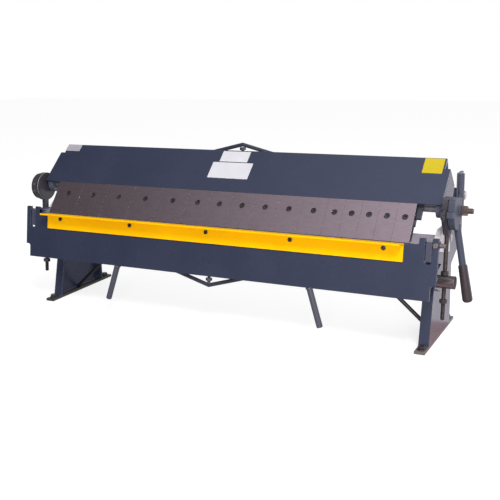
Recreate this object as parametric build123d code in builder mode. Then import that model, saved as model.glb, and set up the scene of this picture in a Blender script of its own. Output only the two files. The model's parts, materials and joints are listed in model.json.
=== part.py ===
"""Box and pan brake: a frame with a bed, a lifting beam with fingers, and a swinging apron.

Millimetres, Z up, X along the bend, the front faces -Y. The origin is on the floor, in the middle of
the four foot bolts.
"""

import os
from math import cos, radians, sin, tan

from build123d import *

# Fingers
wide_finger = 101.6
middle_finger = 76.2
narrow_finger = 50.8
wide_count = 5
middle_count = 6
narrow_count = 5
finger_seam = 0.4
finger_thickness = 18.0
finger_slant = 117.7
finger_lean = 38.0
nose_setback = 1.5
sole_gap = 0.3

# Finger screws
finger_screw_level = 75.0
screw_radius = 5.0
screw_head_radius = 8.0
screw_head_depth = 8.0
screw_socket = 8.0
screw_socket_depth = 5.0
screw_sink = 10.0
head_clearance = 0.5
shank_clearance = 0.25

# Heights and depths of the main axes
bed_height = 312.0
hinge_reach = 171.0
pivot_edge = 20.0
pivot_rise = 64.0
shaft_back = 111.0
shaft_rise = 74.0

# Clamp bar and beam
clamp_bar_overhang = 12.4
clamp_bar_thickness = 10.0
clamp_bar_drop = 58.0
clamp_bar_end_drop = 36.0
beam_lean = 47.9
beam_slant = 161.6
beam_overhang = 65.4
front_plate_thickness = 10.0
front_plate_gap = 0.3
notch_level = 125.0
notch_depth = 16.0
back_plate_thickness = 8.0
back_plate_drop = 5.0
back_plate_gap = 0.1
beam_floor_drop = 4.0
beam_heel_back = 128.0
beam_rear_back = 145.0
beam_rear_rise = 29.0
end_plate_thickness = 10.0
beam_arm_thickness = 12.0
beam_arm_gap = 1.0
beam_arm_radius = 20.0
beam_arm_toe = 40.0
beam_arm_toe_height = 12.0

# Tie rods of the beam and the apron
tie_rod_radius = 6.0
tie_lug_width = 16.0
tie_lug_height = 24.0
tie_lug_root = 1.0
tie_lug_edge = 9.0
tie_post_radius = 5.0
tie_post_clearance = 0.2
tie_post_tail = 8.0
tie_head_flat = 17.0
tie_head_height = 9.0
tie_contact = 0.05
beam_tie_back = 16.0
beam_tie_apex = 122.0
beam_tie_anchor = 315.0
beam_tie_anchor_rise = 46.0
beam_tie_lug_rise = 72.0
apron_tie_back = 14.5
apron_tie_apex = 179.0
apron_tie_anchor = 270.0
apron_tie_anchor_drop = 106.0
apron_tie_lug_drop = 130.0
apron_post_neck = 6.0

# Clamp shaft, eccentrics and straps
shaft_radius = 10.0
running_fit = 0.05
seat_fit = 0.02
bearing_width = 19.0
bearing_radius = 24.0
throw = 24.0
throw_angle = -10.0
eccentric_radius = 38.0
eccentric_width = 17.0
eccentric_gap = 7.0
cheek_radius = 43.0
cheek_width = 14.0
strap_wall = 6.5
strap_width = 15.0
strap_flange = 15.0
strap_flange_width = 13.0
strap_flange_height = 8.0
strap_flange_root = 3.0
strap_split = 0.4
strap_bolt_radius = 4.0
strap_bolt_flat = 13.0
strap_bolt_head = 5.5
strap_bolt_clearance = 0.25
strap_saddle_reach = 34.0
strap_saddle_top = 27.0
strap_saddle_foot = 14.0
strap_saddle_drop = 13.0
strap_neck_radius = 7.4
strap_neck_length = 18.0

# Clamp lever
hub_radius = 44.5
hub_width = 18.0
hub_block = 41.0
hub_corner = 12.0
hub_boss_radius = 16.0
hub_boss = 3.4
hub_gap = 0.6
lever_radius = 9.5
lever_inset = 9.4
lever_start = 36.0
lever_length = 220.0
lever_splay = 9.8
grip_radius = 14.0
grip_length = 103.0
grip_end = 3.0
stub_radius = 8.0
stub_length = 32.0
shaft_nut_flat = 24.0
shaft_nut_width = 17.0
shaft_end = 2.0

# Link rods and trunnions
link_radius = 6.0
link_socket = 14.0
link_tail = 106.0
upper_nut_gap = 0.5
lower_nut_gaps = {"left": 45.0, "right": 30.0}
link_nut_flat = 20.0
link_nut_height = 11.0
trunnion_drop = 117.0
trunnion_back = 69.0
trunnion_radius = 18.0
trunnion_width = 51.0
trunnion_bore = 8.7
journal_radius = 10.0
journal_tail = 4.0
lug_radius = 22.0
lug_width = 10.0
lug_gap = 1.0
lug_root = 52.0
lug_root_rise = 35.0
lug_root_drop = 45.0

# Apron
apron_lean = 9.4
apron_back = 1.0
apron_thickness = 10.0
apron_depth = 149.0
apron_top = 0.5
ear_drop = 107.0
ear_rise = 18.0
ear_step = 16.0
ear_fillet = 9.0
ear_corner = 4.0
slot_clearance = 1.5
slot_depth = 51.5
inner_prong = 16.5
outer_prong = 16.5
pin_radius = 6.0
pin_tails = {"left": 1.0, "right": 14.0}

# Apron bar and handles
bar_end_gap = 10.0
bar_height = 50.0
bar_width = 44.0
bar_thickness = 5.0
bar_screw_pitch = 273.0
bar_screw_drop = 17.0
bar_screw_radius = 4.0
bar_screw_length = 12.0
bar_screw_head_radius = 6.5
bar_screw_head = 4.0
bar_screw_socket = 5.0
bar_screw_socket_depth = 2.5
handle_radius = 9.0
handle_spreads = {"left": 323.0, "right": 335.0}
handle_depth = 5.0
handle_splays = {"left": 43.0, "right": 31.0}
handle_fall = 112.0
handle_setback = 18.5

# Bed
bed_plate_thickness = 20.0
bed_nose_setback = 1.0
bed_plate_depth = 117.0
bed_corner = 26.0
bed_corner_gap = 4.0
bed_box_drop = 87.0
bed_box_back = 167.0
bed_box_wall = 8.0
rest_gap = 0.6

# Side frames
leg_offset = 48.4
leg_plate = 8.0
leg_width = 30.0
foot_half = 166.0
foot_bolt_half = 145.0
foot_bolt_radius = 7.0
foot_bolt_inset = 15.0
leg_front_reach = 124.0
leg_front_slope = 0.2613
rear_leg_reach = 113.0
rear_leg_height = 189.0
rear_edge_reach = 236.0
rear_edge_drop = 71.0
rear_edge_rise = 50.0
web_front_gap = 3.0
web_front_drop = 7.3
web_front_slope = 3.5
upright_rise = 135.0
upright_depth = 46.0
upright_width = 22.0
upright_sink = 17.0
brace_radius = 6.0
brace_back = 9.0
brace_inset = 12.0
brace_angle = 41.5

# Hinge arms and frame bolts
hinge_arm_width = 16.0
arm_nose = 9.0
arm_nose_drop = 45.0
arm_nose_rise = 8.0
arm_neck_back = 20.0
arm_neck_rise = 9.0
arm_shoulder_back = 76.0
arm_shoulder_rise = 0.5
arm_top_back = 104.0
arm_top_rise = 19.0
arm_length = 191.0
arm_heel_drop = 62.0
arm_belly_back = 147.0
arm_belly_drop = 54.0
arm_throat_back = 63.0
arm_throat_drop = 33.0
arm_bolt_radius = 6.0
arm_bolt_flat = 19.0
arm_bolt_head = 8.0
arm_bolt_clearance = 0.25
arm_bolt_back = 141.0
arm_bolt_pitch = 35.0
arm_bolt_drop = 20.0
bed_bolt_back = 51.0
bed_bolt_depth = 26.0
pivot_bolt_radius = 8.0
pivot_bolt_flat = 24.0
pivot_bolt_head = 10.0
pivot_bolt_clearance = 0.1
pivot_washer_radius = 17.0
pivot_washer = 3.0
pivot_nut_gap = 0.4
pivot_nut = 12.0

# Stations along X, measured from the middle
half_bend = (wide_finger * wide_count + middle_finger * middle_count + narrow_finger * narrow_count) / 2
leg_face = half_bend + leg_offset
leg_inner = leg_face - leg_width
arm_outer = leg_face + hinge_arm_width
slot_inner = leg_face - slot_clearance
slot_outer = arm_outer + slot_clearance
ear_inner = slot_inner - inner_prong
ear_outer = slot_outer + outer_prong
apron_half = ear_outer - ear_step
beam_half = half_bend + beam_overhang
end_plate_inner = beam_half - end_plate_thickness
eccentric_inner = beam_half + eccentric_gap
eccentric_outer = eccentric_inner + eccentric_width
link_x = (eccentric_inner + eccentric_outer) / 2
hub_inner = eccentric_outer + hub_gap
hub_outer = hub_inner + hub_width
boss_outer = hub_outer + hub_boss
beam_arm_outer = leg_face - leg_plate - beam_arm_gap
beam_arm_inner = beam_arm_outer - beam_arm_thickness
clamp_bar_half = half_bend + clamp_bar_overhang
bar_half = half_bend - bar_end_gap

# Stations along Y and Z
hinge_y = -hinge_reach
pivot_y = rear_edge_reach - pivot_edge
pivot_z = bed_height + pivot_rise
shaft_y = hinge_y + shaft_back
shaft_z = bed_height + shaft_rise
nose_y = hinge_y + nose_setback
nose_z = bed_height + sole_gap
eccentric_y = shaft_y - throw * cos(radians(throw_angle))
eccentric_z = shaft_z + throw * sin(radians(throw_angle))
trunnion_y = hinge_y + trunnion_back
trunnion_z = bed_height - trunnion_drop
bed_plate_front = hinge_y + bed_nose_setback
bed_plate_rear = bed_plate_front + bed_plate_depth
bed_plate_under = bed_height - bed_plate_thickness
box_bottom = bed_height - bed_box_drop

# A link rod runs from the eccentric's centre through the trunnion
link_span = ((eccentric_y - trunnion_y) ** 2 + (eccentric_z - trunnion_z) ** 2) ** 0.5
link_up_y = (eccentric_y - trunnion_y) / link_span
link_up_z = (eccentric_z - trunnion_z) / link_span

apron_frame = Plane(
    origin=(0, hinge_y, bed_height),
    x_dir=(1, 0, 0),
    z_dir=(0, -cos(radians(apron_lean)), sin(radians(apron_lean))),
)
finger_frame = Plane(
    origin=(0, nose_y, nose_z),
    x_dir=(1, 0, 0),
    z_dir=(0, -cos(radians(finger_lean)), sin(radians(finger_lean))),
)
sides = {"left": -1, "right": 1}


def apron_point(forward, up):
    """(y, z) of a point in front of and above the hinge axis, along the leaning apron."""
    lean = radians(apron_lean)
    return (hinge_y - forward * cos(lean) + up * sin(lean), bed_height + forward * sin(lean) + up * cos(lean))


def finger_point(along, depth):
    """(y, z) of a point up the finger's front face and behind it."""
    lean = radians(finger_lean)
    return (nose_y + along * sin(lean) + depth * cos(lean), nose_z + along * cos(lean) - depth * sin(lean))


finger_top_y, finger_top_z = finger_point(finger_slant, 0)
beam_floor = finger_top_z - beam_floor_drop


def beam_point(along, depth):
    """(y, z) of a point up the beam's front face, from the finger tops, and behind it."""
    lean = radians(beam_lean)
    y = finger_top_y + along * sin(lean) + depth * cos(lean)
    z = finger_top_z + along * cos(lean) - depth * sin(lean)
    return (y, z)


def behind_finger(depth, height):
    """(y, z) at a height on a line parallel to the finger's front face and behind it."""
    lean = radians(finger_lean)
    return finger_point((height - nose_z + depth * sin(lean)) / cos(lean), depth)


def behind_front_plate(height):
    """(y, z) at a height on the back face of the beam's front plate."""
    lean = radians(beam_lean)
    along = (height - finger_top_z + front_plate_thickness * sin(lean)) / cos(lean)
    return beam_point(along, front_plate_thickness)


def leg_front(height):
    """Y of the leg's front face at a height."""
    return leg_front_slope * (height - leg_plate) - leg_front_reach


def start_x(side, near, far):
    """Lowest X of a slab between two distances from the middle, on one side."""
    return near if side > 0 else -far


def slab(outline, start, width):
    """Plate across X with a straight-sided (y, z) outline."""
    with BuildPart() as piece:
        with BuildSketch(Plane.YZ.offset(start)):
            with BuildLine():
                Polyline(*outline, close=True)
            make_face()
        extrude(amount=width)
    return piece.part


def round_x(radius, start, width, y, z):
    """Round bar along X."""
    with BuildPart() as piece:
        with BuildSketch(Plane.YZ.offset(start)):
            with Locations((y, z)):
                Circle(radius)
        extrude(amount=width)
    return piece.part


def hex_x(flat, start, width, y, z):
    """Hexagon bar along X, measured across the flats."""
    with BuildPart() as piece:
        with BuildSketch(Plane.YZ.offset(start)):
            with Locations((y, z)):
                RegularPolygon(flat / 2, 6, major_radius=False)
        extrude(amount=width)
    return piece.part


def bar_between(start, end, radius):
    """Round bar from one point to another."""
    with BuildPart() as piece:
        with BuildSketch(Plane(origin=start, z_dir=Vector(*end) - Vector(*start))):
            Circle(radius)
        extrude(amount=(Vector(*end) - Vector(*start)).length)
    return piece.part


def tie_rod(anchor_x, anchor, apex):
    """Bent tie rod: from the middle to an anchor and mirrored, square ends. Points are (y, z)."""
    spare = 4 * tie_rod_radius
    rise_y = (apex[0] - anchor[0]) / anchor_x * spare
    rise_z = (apex[1] - anchor[1]) / anchor_x * spare
    middle_y = (apex[0] + anchor[0]) / 2
    middle_z = (apex[1] + anchor[1]) / 2
    reach = 2 * abs(apex[1] - anchor[1]) + 2 * spare
    with BuildPart() as piece:
        inner = (-spare, apex[0] + rise_y, apex[1] + rise_z)
        outer = (anchor_x + spare, anchor[0] - rise_y, anchor[1] - rise_z)
        add(bar_between(inner, outer, tie_rod_radius))
        with Locations((-spare, middle_y, middle_z), (anchor_x + spare, middle_y, middle_z)):
            Box(2 * spare, reach, reach, mode=Mode.SUBTRACT)
        mirror(about=Plane.YZ)
    return piece.part


def link_frame(side, up):
    """Plane across a link rod, at a distance above the eccentric's centre."""
    return Plane(
        origin=(side * link_x, eccentric_y, eccentric_z),
        x_dir=(1, 0, 0),
        z_dir=(0, link_up_y, link_up_z),
    ).offset(up)


def strap_plane(start):
    """Plane across X at a station, centred on the eccentric; Y is up the link rod."""
    return Plane(
        origin=(start, eccentric_y, eccentric_z),
        x_dir=(0, link_up_z, -link_up_y),
        z_dir=(1, 0, 0),
    )


def save(part, label):
    """Write one piece under its own name."""
    part.label = label
    export_step(part, f"parts/{label}.step")


os.makedirs("parts", exist_ok=True)

# Fingers and their screws
finger_widths = [wide_finger] * wide_count + [middle_finger] * middle_count + [narrow_finger] * narrow_count
finger_edges = [sum(finger_widths[:index]) - half_bend for index in range(len(finger_widths))]
finger_centres = [edge + width / 2 for edge, width in zip(finger_edges, finger_widths)]
screw_places = [(centre, finger_screw_level) for centre in finger_centres]
finger_outline = [
    finger_point(0, 0),
    finger_point(finger_slant, 0),
    finger_point(finger_slant, finger_thickness),
    behind_finger(finger_thickness, nose_z),
]

for index, width in enumerate(finger_widths):
    with BuildPart() as finger:
        add(slab(finger_outline, finger_edges[index] + finger_seam / 2, width - finger_seam))
        with BuildSketch(finger_frame):
            with Locations(screw_places[index]):
                Circle(screw_head_radius + head_clearance)
        extrude(amount=-screw_sink, mode=Mode.SUBTRACT)
        with BuildSketch(finger_frame):
            with Locations(screw_places[index]):
                Circle(screw_radius + shank_clearance)
        extrude(amount=-2 * finger_thickness, mode=Mode.SUBTRACT)
    save(finger.part, f"finger_{index + 1:02d}")

with BuildPart() as finger_screws:
    with BuildSketch(finger_frame.offset(-screw_sink)):
        with Locations(*screw_places):
            Circle(screw_head_radius)
    extrude(amount=screw_head_depth)
    with BuildSketch(finger_frame.offset(screw_head_depth - screw_sink)):
        with Locations(*screw_places):
            RegularPolygon(screw_socket / 2, 6, major_radius=False)
    extrude(amount=-screw_socket_depth, mode=Mode.SUBTRACT)
    with BuildSketch(finger_frame.offset(-screw_sink)):
        with Locations(*screw_places):
            Circle(screw_radius)
    extrude(amount=screw_sink - finger_thickness - clamp_bar_thickness)
save(finger_screws.part, "finger_screws")

# Clamp bar behind the fingers, its top under the beam's floor, shallower beyond the last fingers
clamp_bar_low = finger_slant - clamp_bar_drop
clamp_bar_back = finger_thickness + clamp_bar_thickness
clamp_bar_outline = [
    finger_point(clamp_bar_low, finger_thickness),
    behind_finger(finger_thickness, beam_floor),
    behind_finger(clamp_bar_back, beam_floor),
    finger_point(clamp_bar_low, clamp_bar_back),
]
clamp_bar_end_cut = [
    finger_point(clamp_bar_low, finger_thickness),
    finger_point(finger_slant - clamp_bar_end_drop, finger_thickness),
    finger_point(finger_slant - clamp_bar_end_drop, clamp_bar_back),
    finger_point(clamp_bar_low, clamp_bar_back),
]
with BuildPart() as finger_clamp_bar:
    add(slab(clamp_bar_outline, -clamp_bar_half, 2 * clamp_bar_half))
    with BuildSketch(finger_frame.offset(-finger_thickness)):
        with Locations(*screw_places):
            Circle(screw_radius + shank_clearance)
    extrude(amount=-2 * clamp_bar_thickness, mode=Mode.SUBTRACT)
    for side in sides.values():
        end_cut = slab(clamp_bar_end_cut, start_x(side, half_bend, clamp_bar_half), clamp_bar_overhang)
        add(end_cut, mode=Mode.SUBTRACT)
save(finger_clamp_bar.part, "finger_clamp_bar")

# Beam: leaning front plate with notched upper corners
front_plate_low = front_plate_gap + front_plate_thickness * tan(radians(beam_lean - finger_lean))
front_plate_outline = [
    beam_point(front_plate_gap, 0),
    beam_point(beam_slant, 0),
    beam_point(beam_slant, front_plate_thickness),
    beam_point(front_plate_low, front_plate_thickness),
]
notch_outline = [
    beam_point(notch_level, -front_plate_thickness),
    beam_point(2 * beam_slant, -front_plate_thickness),
    beam_point(2 * beam_slant, 2 * front_plate_thickness),
    beam_point(notch_level, 2 * front_plate_thickness),
]
with BuildPart() as beam_front_plate:
    add(slab(front_plate_outline, -beam_half, 2 * beam_half))
    for side in sides.values():
        notch_start = start_x(side, beam_half - notch_depth, beam_half + notch_depth)
        add(slab(notch_outline, notch_start, 2 * notch_depth), mode=Mode.SUBTRACT)
save(beam_front_plate.part, "beam_front_plate")

# Beam: bent back plate with the tie rod's lugs
heel = (finger_top_y + beam_heel_back, beam_floor)
rear = (finger_top_y + beam_rear_back, finger_top_z + beam_rear_rise)
ridge = beam_point(beam_slant, front_plate_thickness)
rear_length = ((ridge[0] - rear[0]) ** 2 + (ridge[1] - rear[1]) ** 2) ** 0.5
back_top = (
    ridge[0] + (rear[0] - ridge[0]) * back_plate_drop / rear_length,
    ridge[1] + (rear[1] - ridge[1]) * back_plate_drop / rear_length,
)
floor_front = (behind_front_plate(beam_floor + back_plate_thickness)[0] + back_plate_gap, beam_floor)
notch_back = beam_point(notch_level, front_plate_thickness)
beam_tie_y = rear[0] + beam_tie_back


def back_face(height):
    """Y of the back plate's outer face at a height above its rear corner."""
    return rear[0] + (ridge[0] - rear[0]) * (height - rear[1]) / (ridge[1] - rear[1])


def beam_lug(x, height):
    """Lug on the back plate for the tie rod."""
    top = height + tie_lug_height / 2
    low = height - tie_lug_height / 2
    front = back_face(top) - tie_lug_root
    back = beam_tie_y + tie_lug_edge
    outline = [(front, low), (back, low), (back, top), (front, top)]
    return slab(outline, x - tie_lug_width / 2, tie_lug_width)


beam_lug_z = finger_top_z + beam_tie_lug_rise
beam_anchor_z = finger_top_z + beam_tie_anchor_rise
beam_apex_z = finger_top_z + beam_tie_apex
with BuildPart() as beam_back_plate:
    with BuildSketch(Plane.YZ.offset(-end_plate_inner)):
        with BuildLine():
            Polyline(floor_front, heel, rear, back_top)
            offset(amount=back_plate_thickness, side=Side.LEFT, kind=Kind.INTERSECTION)
        make_face()
    extrude(amount=2 * end_plate_inner)
    with Locations(*[(side * beam_half, rear[0], notch_back[1] + beam_slant / 2) for side in sides.values()]):
        Box(2 * notch_depth, beam_slant, beam_slant, mode=Mode.SUBTRACT)
    add(beam_lug(-beam_tie_anchor, beam_anchor_z))
    add(beam_lug(beam_tie_anchor, beam_anchor_z))
    add(beam_lug(0, beam_lug_z))
    with Locations((0, beam_tie_y, beam_lug_z)):
        Cylinder(tie_post_radius + tie_post_clearance, 2 * tie_lug_height, mode=Mode.SUBTRACT)
save(beam_back_plate.part, "beam_back_plate")

beam_rod_end = beam_tie_anchor - tie_lug_width / 2
save(tie_rod(beam_rod_end, (beam_tie_y, beam_anchor_z), (beam_tie_y, beam_apex_z)), "beam_truss_rod")


def post_reach(slope, radius):
    """Distance from a tie rod's apex to the end of the post that presses on it."""
    return tie_rod_radius * (1 + slope**2) ** 0.5 + radius * slope + tie_contact


beam_tie_slope = (beam_apex_z - beam_anchor_z) / beam_rod_end
with BuildPart() as beam_truss_post:
    post_low = beam_lug_z - tie_lug_height / 2 - tie_post_tail
    post_top = beam_apex_z - post_reach(beam_tie_slope, tie_head_flat / 2 / cos(radians(30)))
    with BuildSketch(Plane.XY.offset(post_low)):
        with Locations((0, beam_tie_y)):
            Circle(tie_post_radius)
    extrude(amount=post_top - post_low)
    with BuildSketch(Plane.XY.offset(post_top)):
        with Locations((0, beam_tie_y)):
            RegularPolygon(tie_head_flat / 2, 6, major_radius=False)
    extrude(amount=-tie_head_height)
save(beam_truss_post.part, "beam_truss_post")

# Beam ends: end plate and pivot arm on each side, and the two shaft bearings
for name, side in sides.items():
    with BuildPart() as beam_end_plate:
        end_start = start_x(side, end_plate_inner, beam_half)
        add(slab([behind_front_plate(beam_floor), notch_back, rear, heel], end_start, end_plate_thickness))
    save(beam_end_plate.part, f"beam_end_plate_{name}")

    with BuildPart() as beam_arm:
        with BuildSketch(Plane.YZ.offset(start_x(side, beam_arm_inner, beam_arm_outer))):
            with BuildLine():
                Polyline(
                    (pivot_y, pivot_z - beam_arm_radius),
                    (shaft_y + beam_arm_toe, beam_floor - beam_arm_toe_height),
                    (shaft_y + beam_arm_toe, beam_floor),
                    heel,
                    rear,
                    (pivot_y, pivot_z + beam_arm_radius),
                )
                ThreePointArc(
                    (pivot_y, pivot_z + beam_arm_radius),
                    (pivot_y + beam_arm_radius, pivot_z),
                    (pivot_y, pivot_z - beam_arm_radius),
                )
            make_face()
            with Locations((pivot_y, pivot_z)):
                Circle(pivot_bolt_radius + running_fit, mode=Mode.SUBTRACT)
        extrude(amount=beam_arm_thickness)
    save(beam_arm.part, f"beam_arm_{name}")

with BuildPart() as shaft_bearings:
    for side in sides.values():
        with BuildSketch(Plane.YZ.offset(start_x(side, beam_half - bearing_width, beam_half))):
            with Locations((shaft_y, shaft_z)):
                Circle(bearing_radius)
            with Locations((shaft_y, shaft_z + bearing_radius / 2)):
                Rectangle(2 * bearing_radius, bearing_radius)
            with Locations((shaft_y, beam_floor + bearing_radius)):
                Rectangle(3 * bearing_radius, 2 * bearing_radius, mode=Mode.SUBTRACT)
            with Locations((shaft_y, shaft_z)):
                Circle(shaft_radius + running_fit, mode=Mode.SUBTRACT)
        extrude(amount=bearing_width)
save(shaft_bearings.part, "shaft_bearings")

# Clamp shaft with its nut, lever and eccentrics
shaft_left = eccentric_outer + cheek_width + shaft_end
with BuildPart() as clamp_shaft:
    add(round_x(shaft_radius, -shaft_left, shaft_left + boss_outer, shaft_y, shaft_z))
    add(round_x(stub_radius, boss_outer, stub_length, shaft_y, shaft_z))
save(clamp_shaft.part, "clamp_shaft")

with BuildPart() as shaft_nut:
    add(hex_x(shaft_nut_flat, boss_outer, shaft_nut_width, shaft_y, shaft_z))
    add(round_x(stub_radius + seat_fit, boss_outer, shaft_nut_width, shaft_y, shaft_z), mode=Mode.SUBTRACT)
save(shaft_nut.part, "shaft_nut")

lever_x = hub_inner + lever_inset
lever_out = sin(radians(lever_splay))
lever_down = cos(radians(lever_splay))


def lever_point(along):
    """Point down the lever from where it leaves the hub's inside."""
    return (lever_x + along * lever_out, shaft_y, shaft_z - lever_start - along * lever_down)


with BuildPart() as clamp_lever:
    with BuildSketch(strap_plane(hub_inner)):
        Circle(hub_radius)
        with Locations((0, (hub_block - hub_corner) / 2)):
            RectangleRounded(2 * hub_radius, hub_block + hub_corner, hub_corner)
        with Locations((-hub_radius - (strap_flange - strap_flange_root) / 2, 0)):
            Rectangle(strap_flange + strap_flange_root, 2 * strap_flange_height)
    extrude(amount=hub_width)
    add(round_x(hub_boss_radius, hub_outer, hub_boss, shaft_y, shaft_z))
    add(bar_between(lever_point(0), lever_point(lever_length), lever_radius))
    shaft_seat = round_x(shaft_radius + seat_fit, hub_inner, boss_outer - hub_inner, shaft_y, shaft_z)
    add(shaft_seat, mode=Mode.SUBTRACT)
save(clamp_lever.part, "clamp_lever")

with BuildPart() as lever_grip:
    grip_top = lever_point(lever_length - grip_length)
    add(bar_between(grip_top, lever_point(lever_length + grip_end), grip_radius))
    add(bar_between(lever_point(0), lever_point(lever_length), lever_radius + seat_fit), mode=Mode.SUBTRACT)
save(lever_grip.part, "lever_grip")

for name, side in sides.items():
    with BuildPart() as eccentric:
        eccentric_start = start_x(side, eccentric_inner, eccentric_outer)
        add(round_x(eccentric_radius, eccentric_start, eccentric_width, eccentric_y, eccentric_z))
        if side < 0:
            cheek_start = -eccentric_outer - cheek_width
            add(round_x(cheek_radius, cheek_start, cheek_width, eccentric_y, eccentric_z))
        shaft_seat = round_x(shaft_radius + seat_fit, -shaft_left, 2 * shaft_left, shaft_y, shaft_z)
        add(shaft_seat, mode=Mode.SUBTRACT)
    save(eccentric.part, f"eccentric_{name}")

# Straps, link rods and their bolts and nuts
strap_inner = eccentric_radius + running_fit
strap_outer = strap_inner + strap_wall
strap_reach = strap_outer + strap_flange
strap_bolt_place = strap_outer + strap_flange / 2
flange_span = strap_reach - strap_outer + strap_flange_root
flange_middle = (strap_reach + strap_outer - strap_flange_root) / 2
neck_end = strap_outer + strap_neck_length
rod_top = neck_end - link_socket
flange_face = strap_split / 2 + strap_flange_height
saddle_outline = [
    (-strap_saddle_reach, -strap_saddle_top),
    (strap_saddle_reach, -strap_saddle_top),
    (strap_saddle_foot, -strap_outer - strap_saddle_drop),
    (-strap_saddle_foot, -strap_outer - strap_saddle_drop),
]


def strap_half(side, way):
    """One half of a strap: way is 1 for the cap above the split and -1 for the base below it."""
    with BuildPart() as half:
        with BuildSketch(strap_plane(side * link_x - strap_width / 2)):
            Circle(strap_outer)
            if way > 0 and side > 0:
                with Locations((0, (hub_block - hub_corner) / 2)):
                    RectangleRounded(2 * strap_outer, hub_block + hub_corner, hub_corner)
            if way < 0:
                with BuildLine():
                    Polyline(*saddle_outline, close=True)
                make_face()
            Circle(strap_inner, mode=Mode.SUBTRACT)
            with Locations((0, way * (strap_split / 2 - strap_outer))):
                Rectangle(3 * strap_outer, 2 * strap_outer, mode=Mode.SUBTRACT)
        extrude(amount=strap_width)
        with BuildSketch(strap_plane(side * link_x - strap_flange_width / 2)):
            flange_level = way * (flange_face + strap_split / 2) / 2
            with Locations((-flange_middle, flange_level), (flange_middle, flange_level)):
                Rectangle(flange_span, strap_flange_height)
        extrude(amount=strap_flange_width)
        with BuildSketch(link_frame(side, -strap_outer)):
            with Locations((0, strap_bolt_place), (0, -strap_bolt_place)):
                Circle(strap_bolt_radius + strap_bolt_clearance)
        extrude(amount=2 * strap_outer, mode=Mode.SUBTRACT)
        if way < 0:
            with BuildSketch(link_frame(side, -neck_end)):
                Circle(strap_neck_radius)
            extrude(amount=neck_end - strap_inner - strap_flange_root)
            with BuildSketch(link_frame(side, -neck_end)):
                Circle(link_radius + seat_fit)
            extrude(amount=link_socket, mode=Mode.SUBTRACT)
    return half.part


for name, side in sides.items():
    save(strap_half(side, 1), f"strap_cap_{name}")
    save(strap_half(side, -1), f"strap_base_{name}")

    with BuildPart() as link_rod:
        with BuildSketch(link_frame(side, -link_span - link_tail)):
            Circle(link_radius)
        extrude(amount=link_span + link_tail - rod_top)
    save(link_rod.part, f"link_rod_{name}")

    upper_nut_low = -link_span + trunnion_radius + upper_nut_gap
    lower_nut_low = -link_span - trunnion_radius - lower_nut_gaps[name] - link_nut_height
    with BuildPart() as link_fasteners:
        for level in (upper_nut_low, lower_nut_low):
            with BuildSketch(link_frame(side, level)):
                RegularPolygon(link_nut_flat / 2, 6, major_radius=False)
                Circle(link_radius + seat_fit, mode=Mode.SUBTRACT)
            extrude(amount=link_nut_height)
        for end in (-1, 1):
            for level in (flange_face, -flange_face - strap_bolt_head):
                with BuildSketch(link_frame(side, level)):
                    with Locations((0, end * strap_bolt_place)):
                        RegularPolygon(strap_bolt_flat / 2, 6, major_radius=False)
                extrude(amount=strap_bolt_head)
            with BuildSketch(link_frame(side, -flange_face - strap_bolt_head - strap_bolt_radius)):
                with Locations((0, end * strap_bolt_place)):
                    Circle(strap_bolt_radius)
            extrude(amount=2 * flange_face + strap_bolt_head + strap_bolt_radius)
    save(link_fasteners.part, f"link_fasteners_{name}")

    barrel_inner = leg_face + lug_width + lug_gap
    journal_inner = leg_face - journal_tail
    with BuildPart() as trunnion:
        barrel_start = start_x(side, barrel_inner, barrel_inner + trunnion_width)
        journal_start = start_x(side, journal_inner, barrel_inner)
        add(round_x(trunnion_radius, barrel_start, trunnion_width, trunnion_y, trunnion_z))
        add(round_x(journal_radius, journal_start, barrel_inner - journal_inner, trunnion_y, trunnion_z))
        with BuildSketch(link_frame(side, -link_span - 2 * trunnion_radius)):
            Circle(trunnion_bore)
        extrude(amount=4 * trunnion_radius, mode=Mode.SUBTRACT)
    save(trunnion.part, f"trunnion_{name}")

# Apron plate with tie rod lugs, and the slotted ears with pin bosses welded to its ends
apron_front = apron_back + apron_thickness
slot_x = (slot_inner + slot_outer) / 2
slot_radius = (slot_outer - slot_inner) / 2
slot_centre = slot_radius - slot_depth
apron_half_outline = [
    (0, -apron_depth),
    (apron_half, -apron_depth),
    (apron_half, -ear_drop),
    (ear_outer, -ear_drop),
    (ear_outer, ear_rise),
    (ear_inner, ear_rise),
    (ear_inner, -apron_top),
    (0, -apron_top),
]


def apron_lug(x, drop):
    """Lug on the apron's back for the tie rod."""
    low = -drop - tie_lug_height / 2
    top = -drop + tie_lug_height / 2
    back = -apron_tie_back - tie_lug_edge
    front = apron_back + tie_lug_root
    corners = [(front, low), (back, low), (back, top), (front, top)]
    return slab([apron_point(*corner) for corner in corners], x - tie_lug_width / 2, tie_lug_width)


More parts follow.
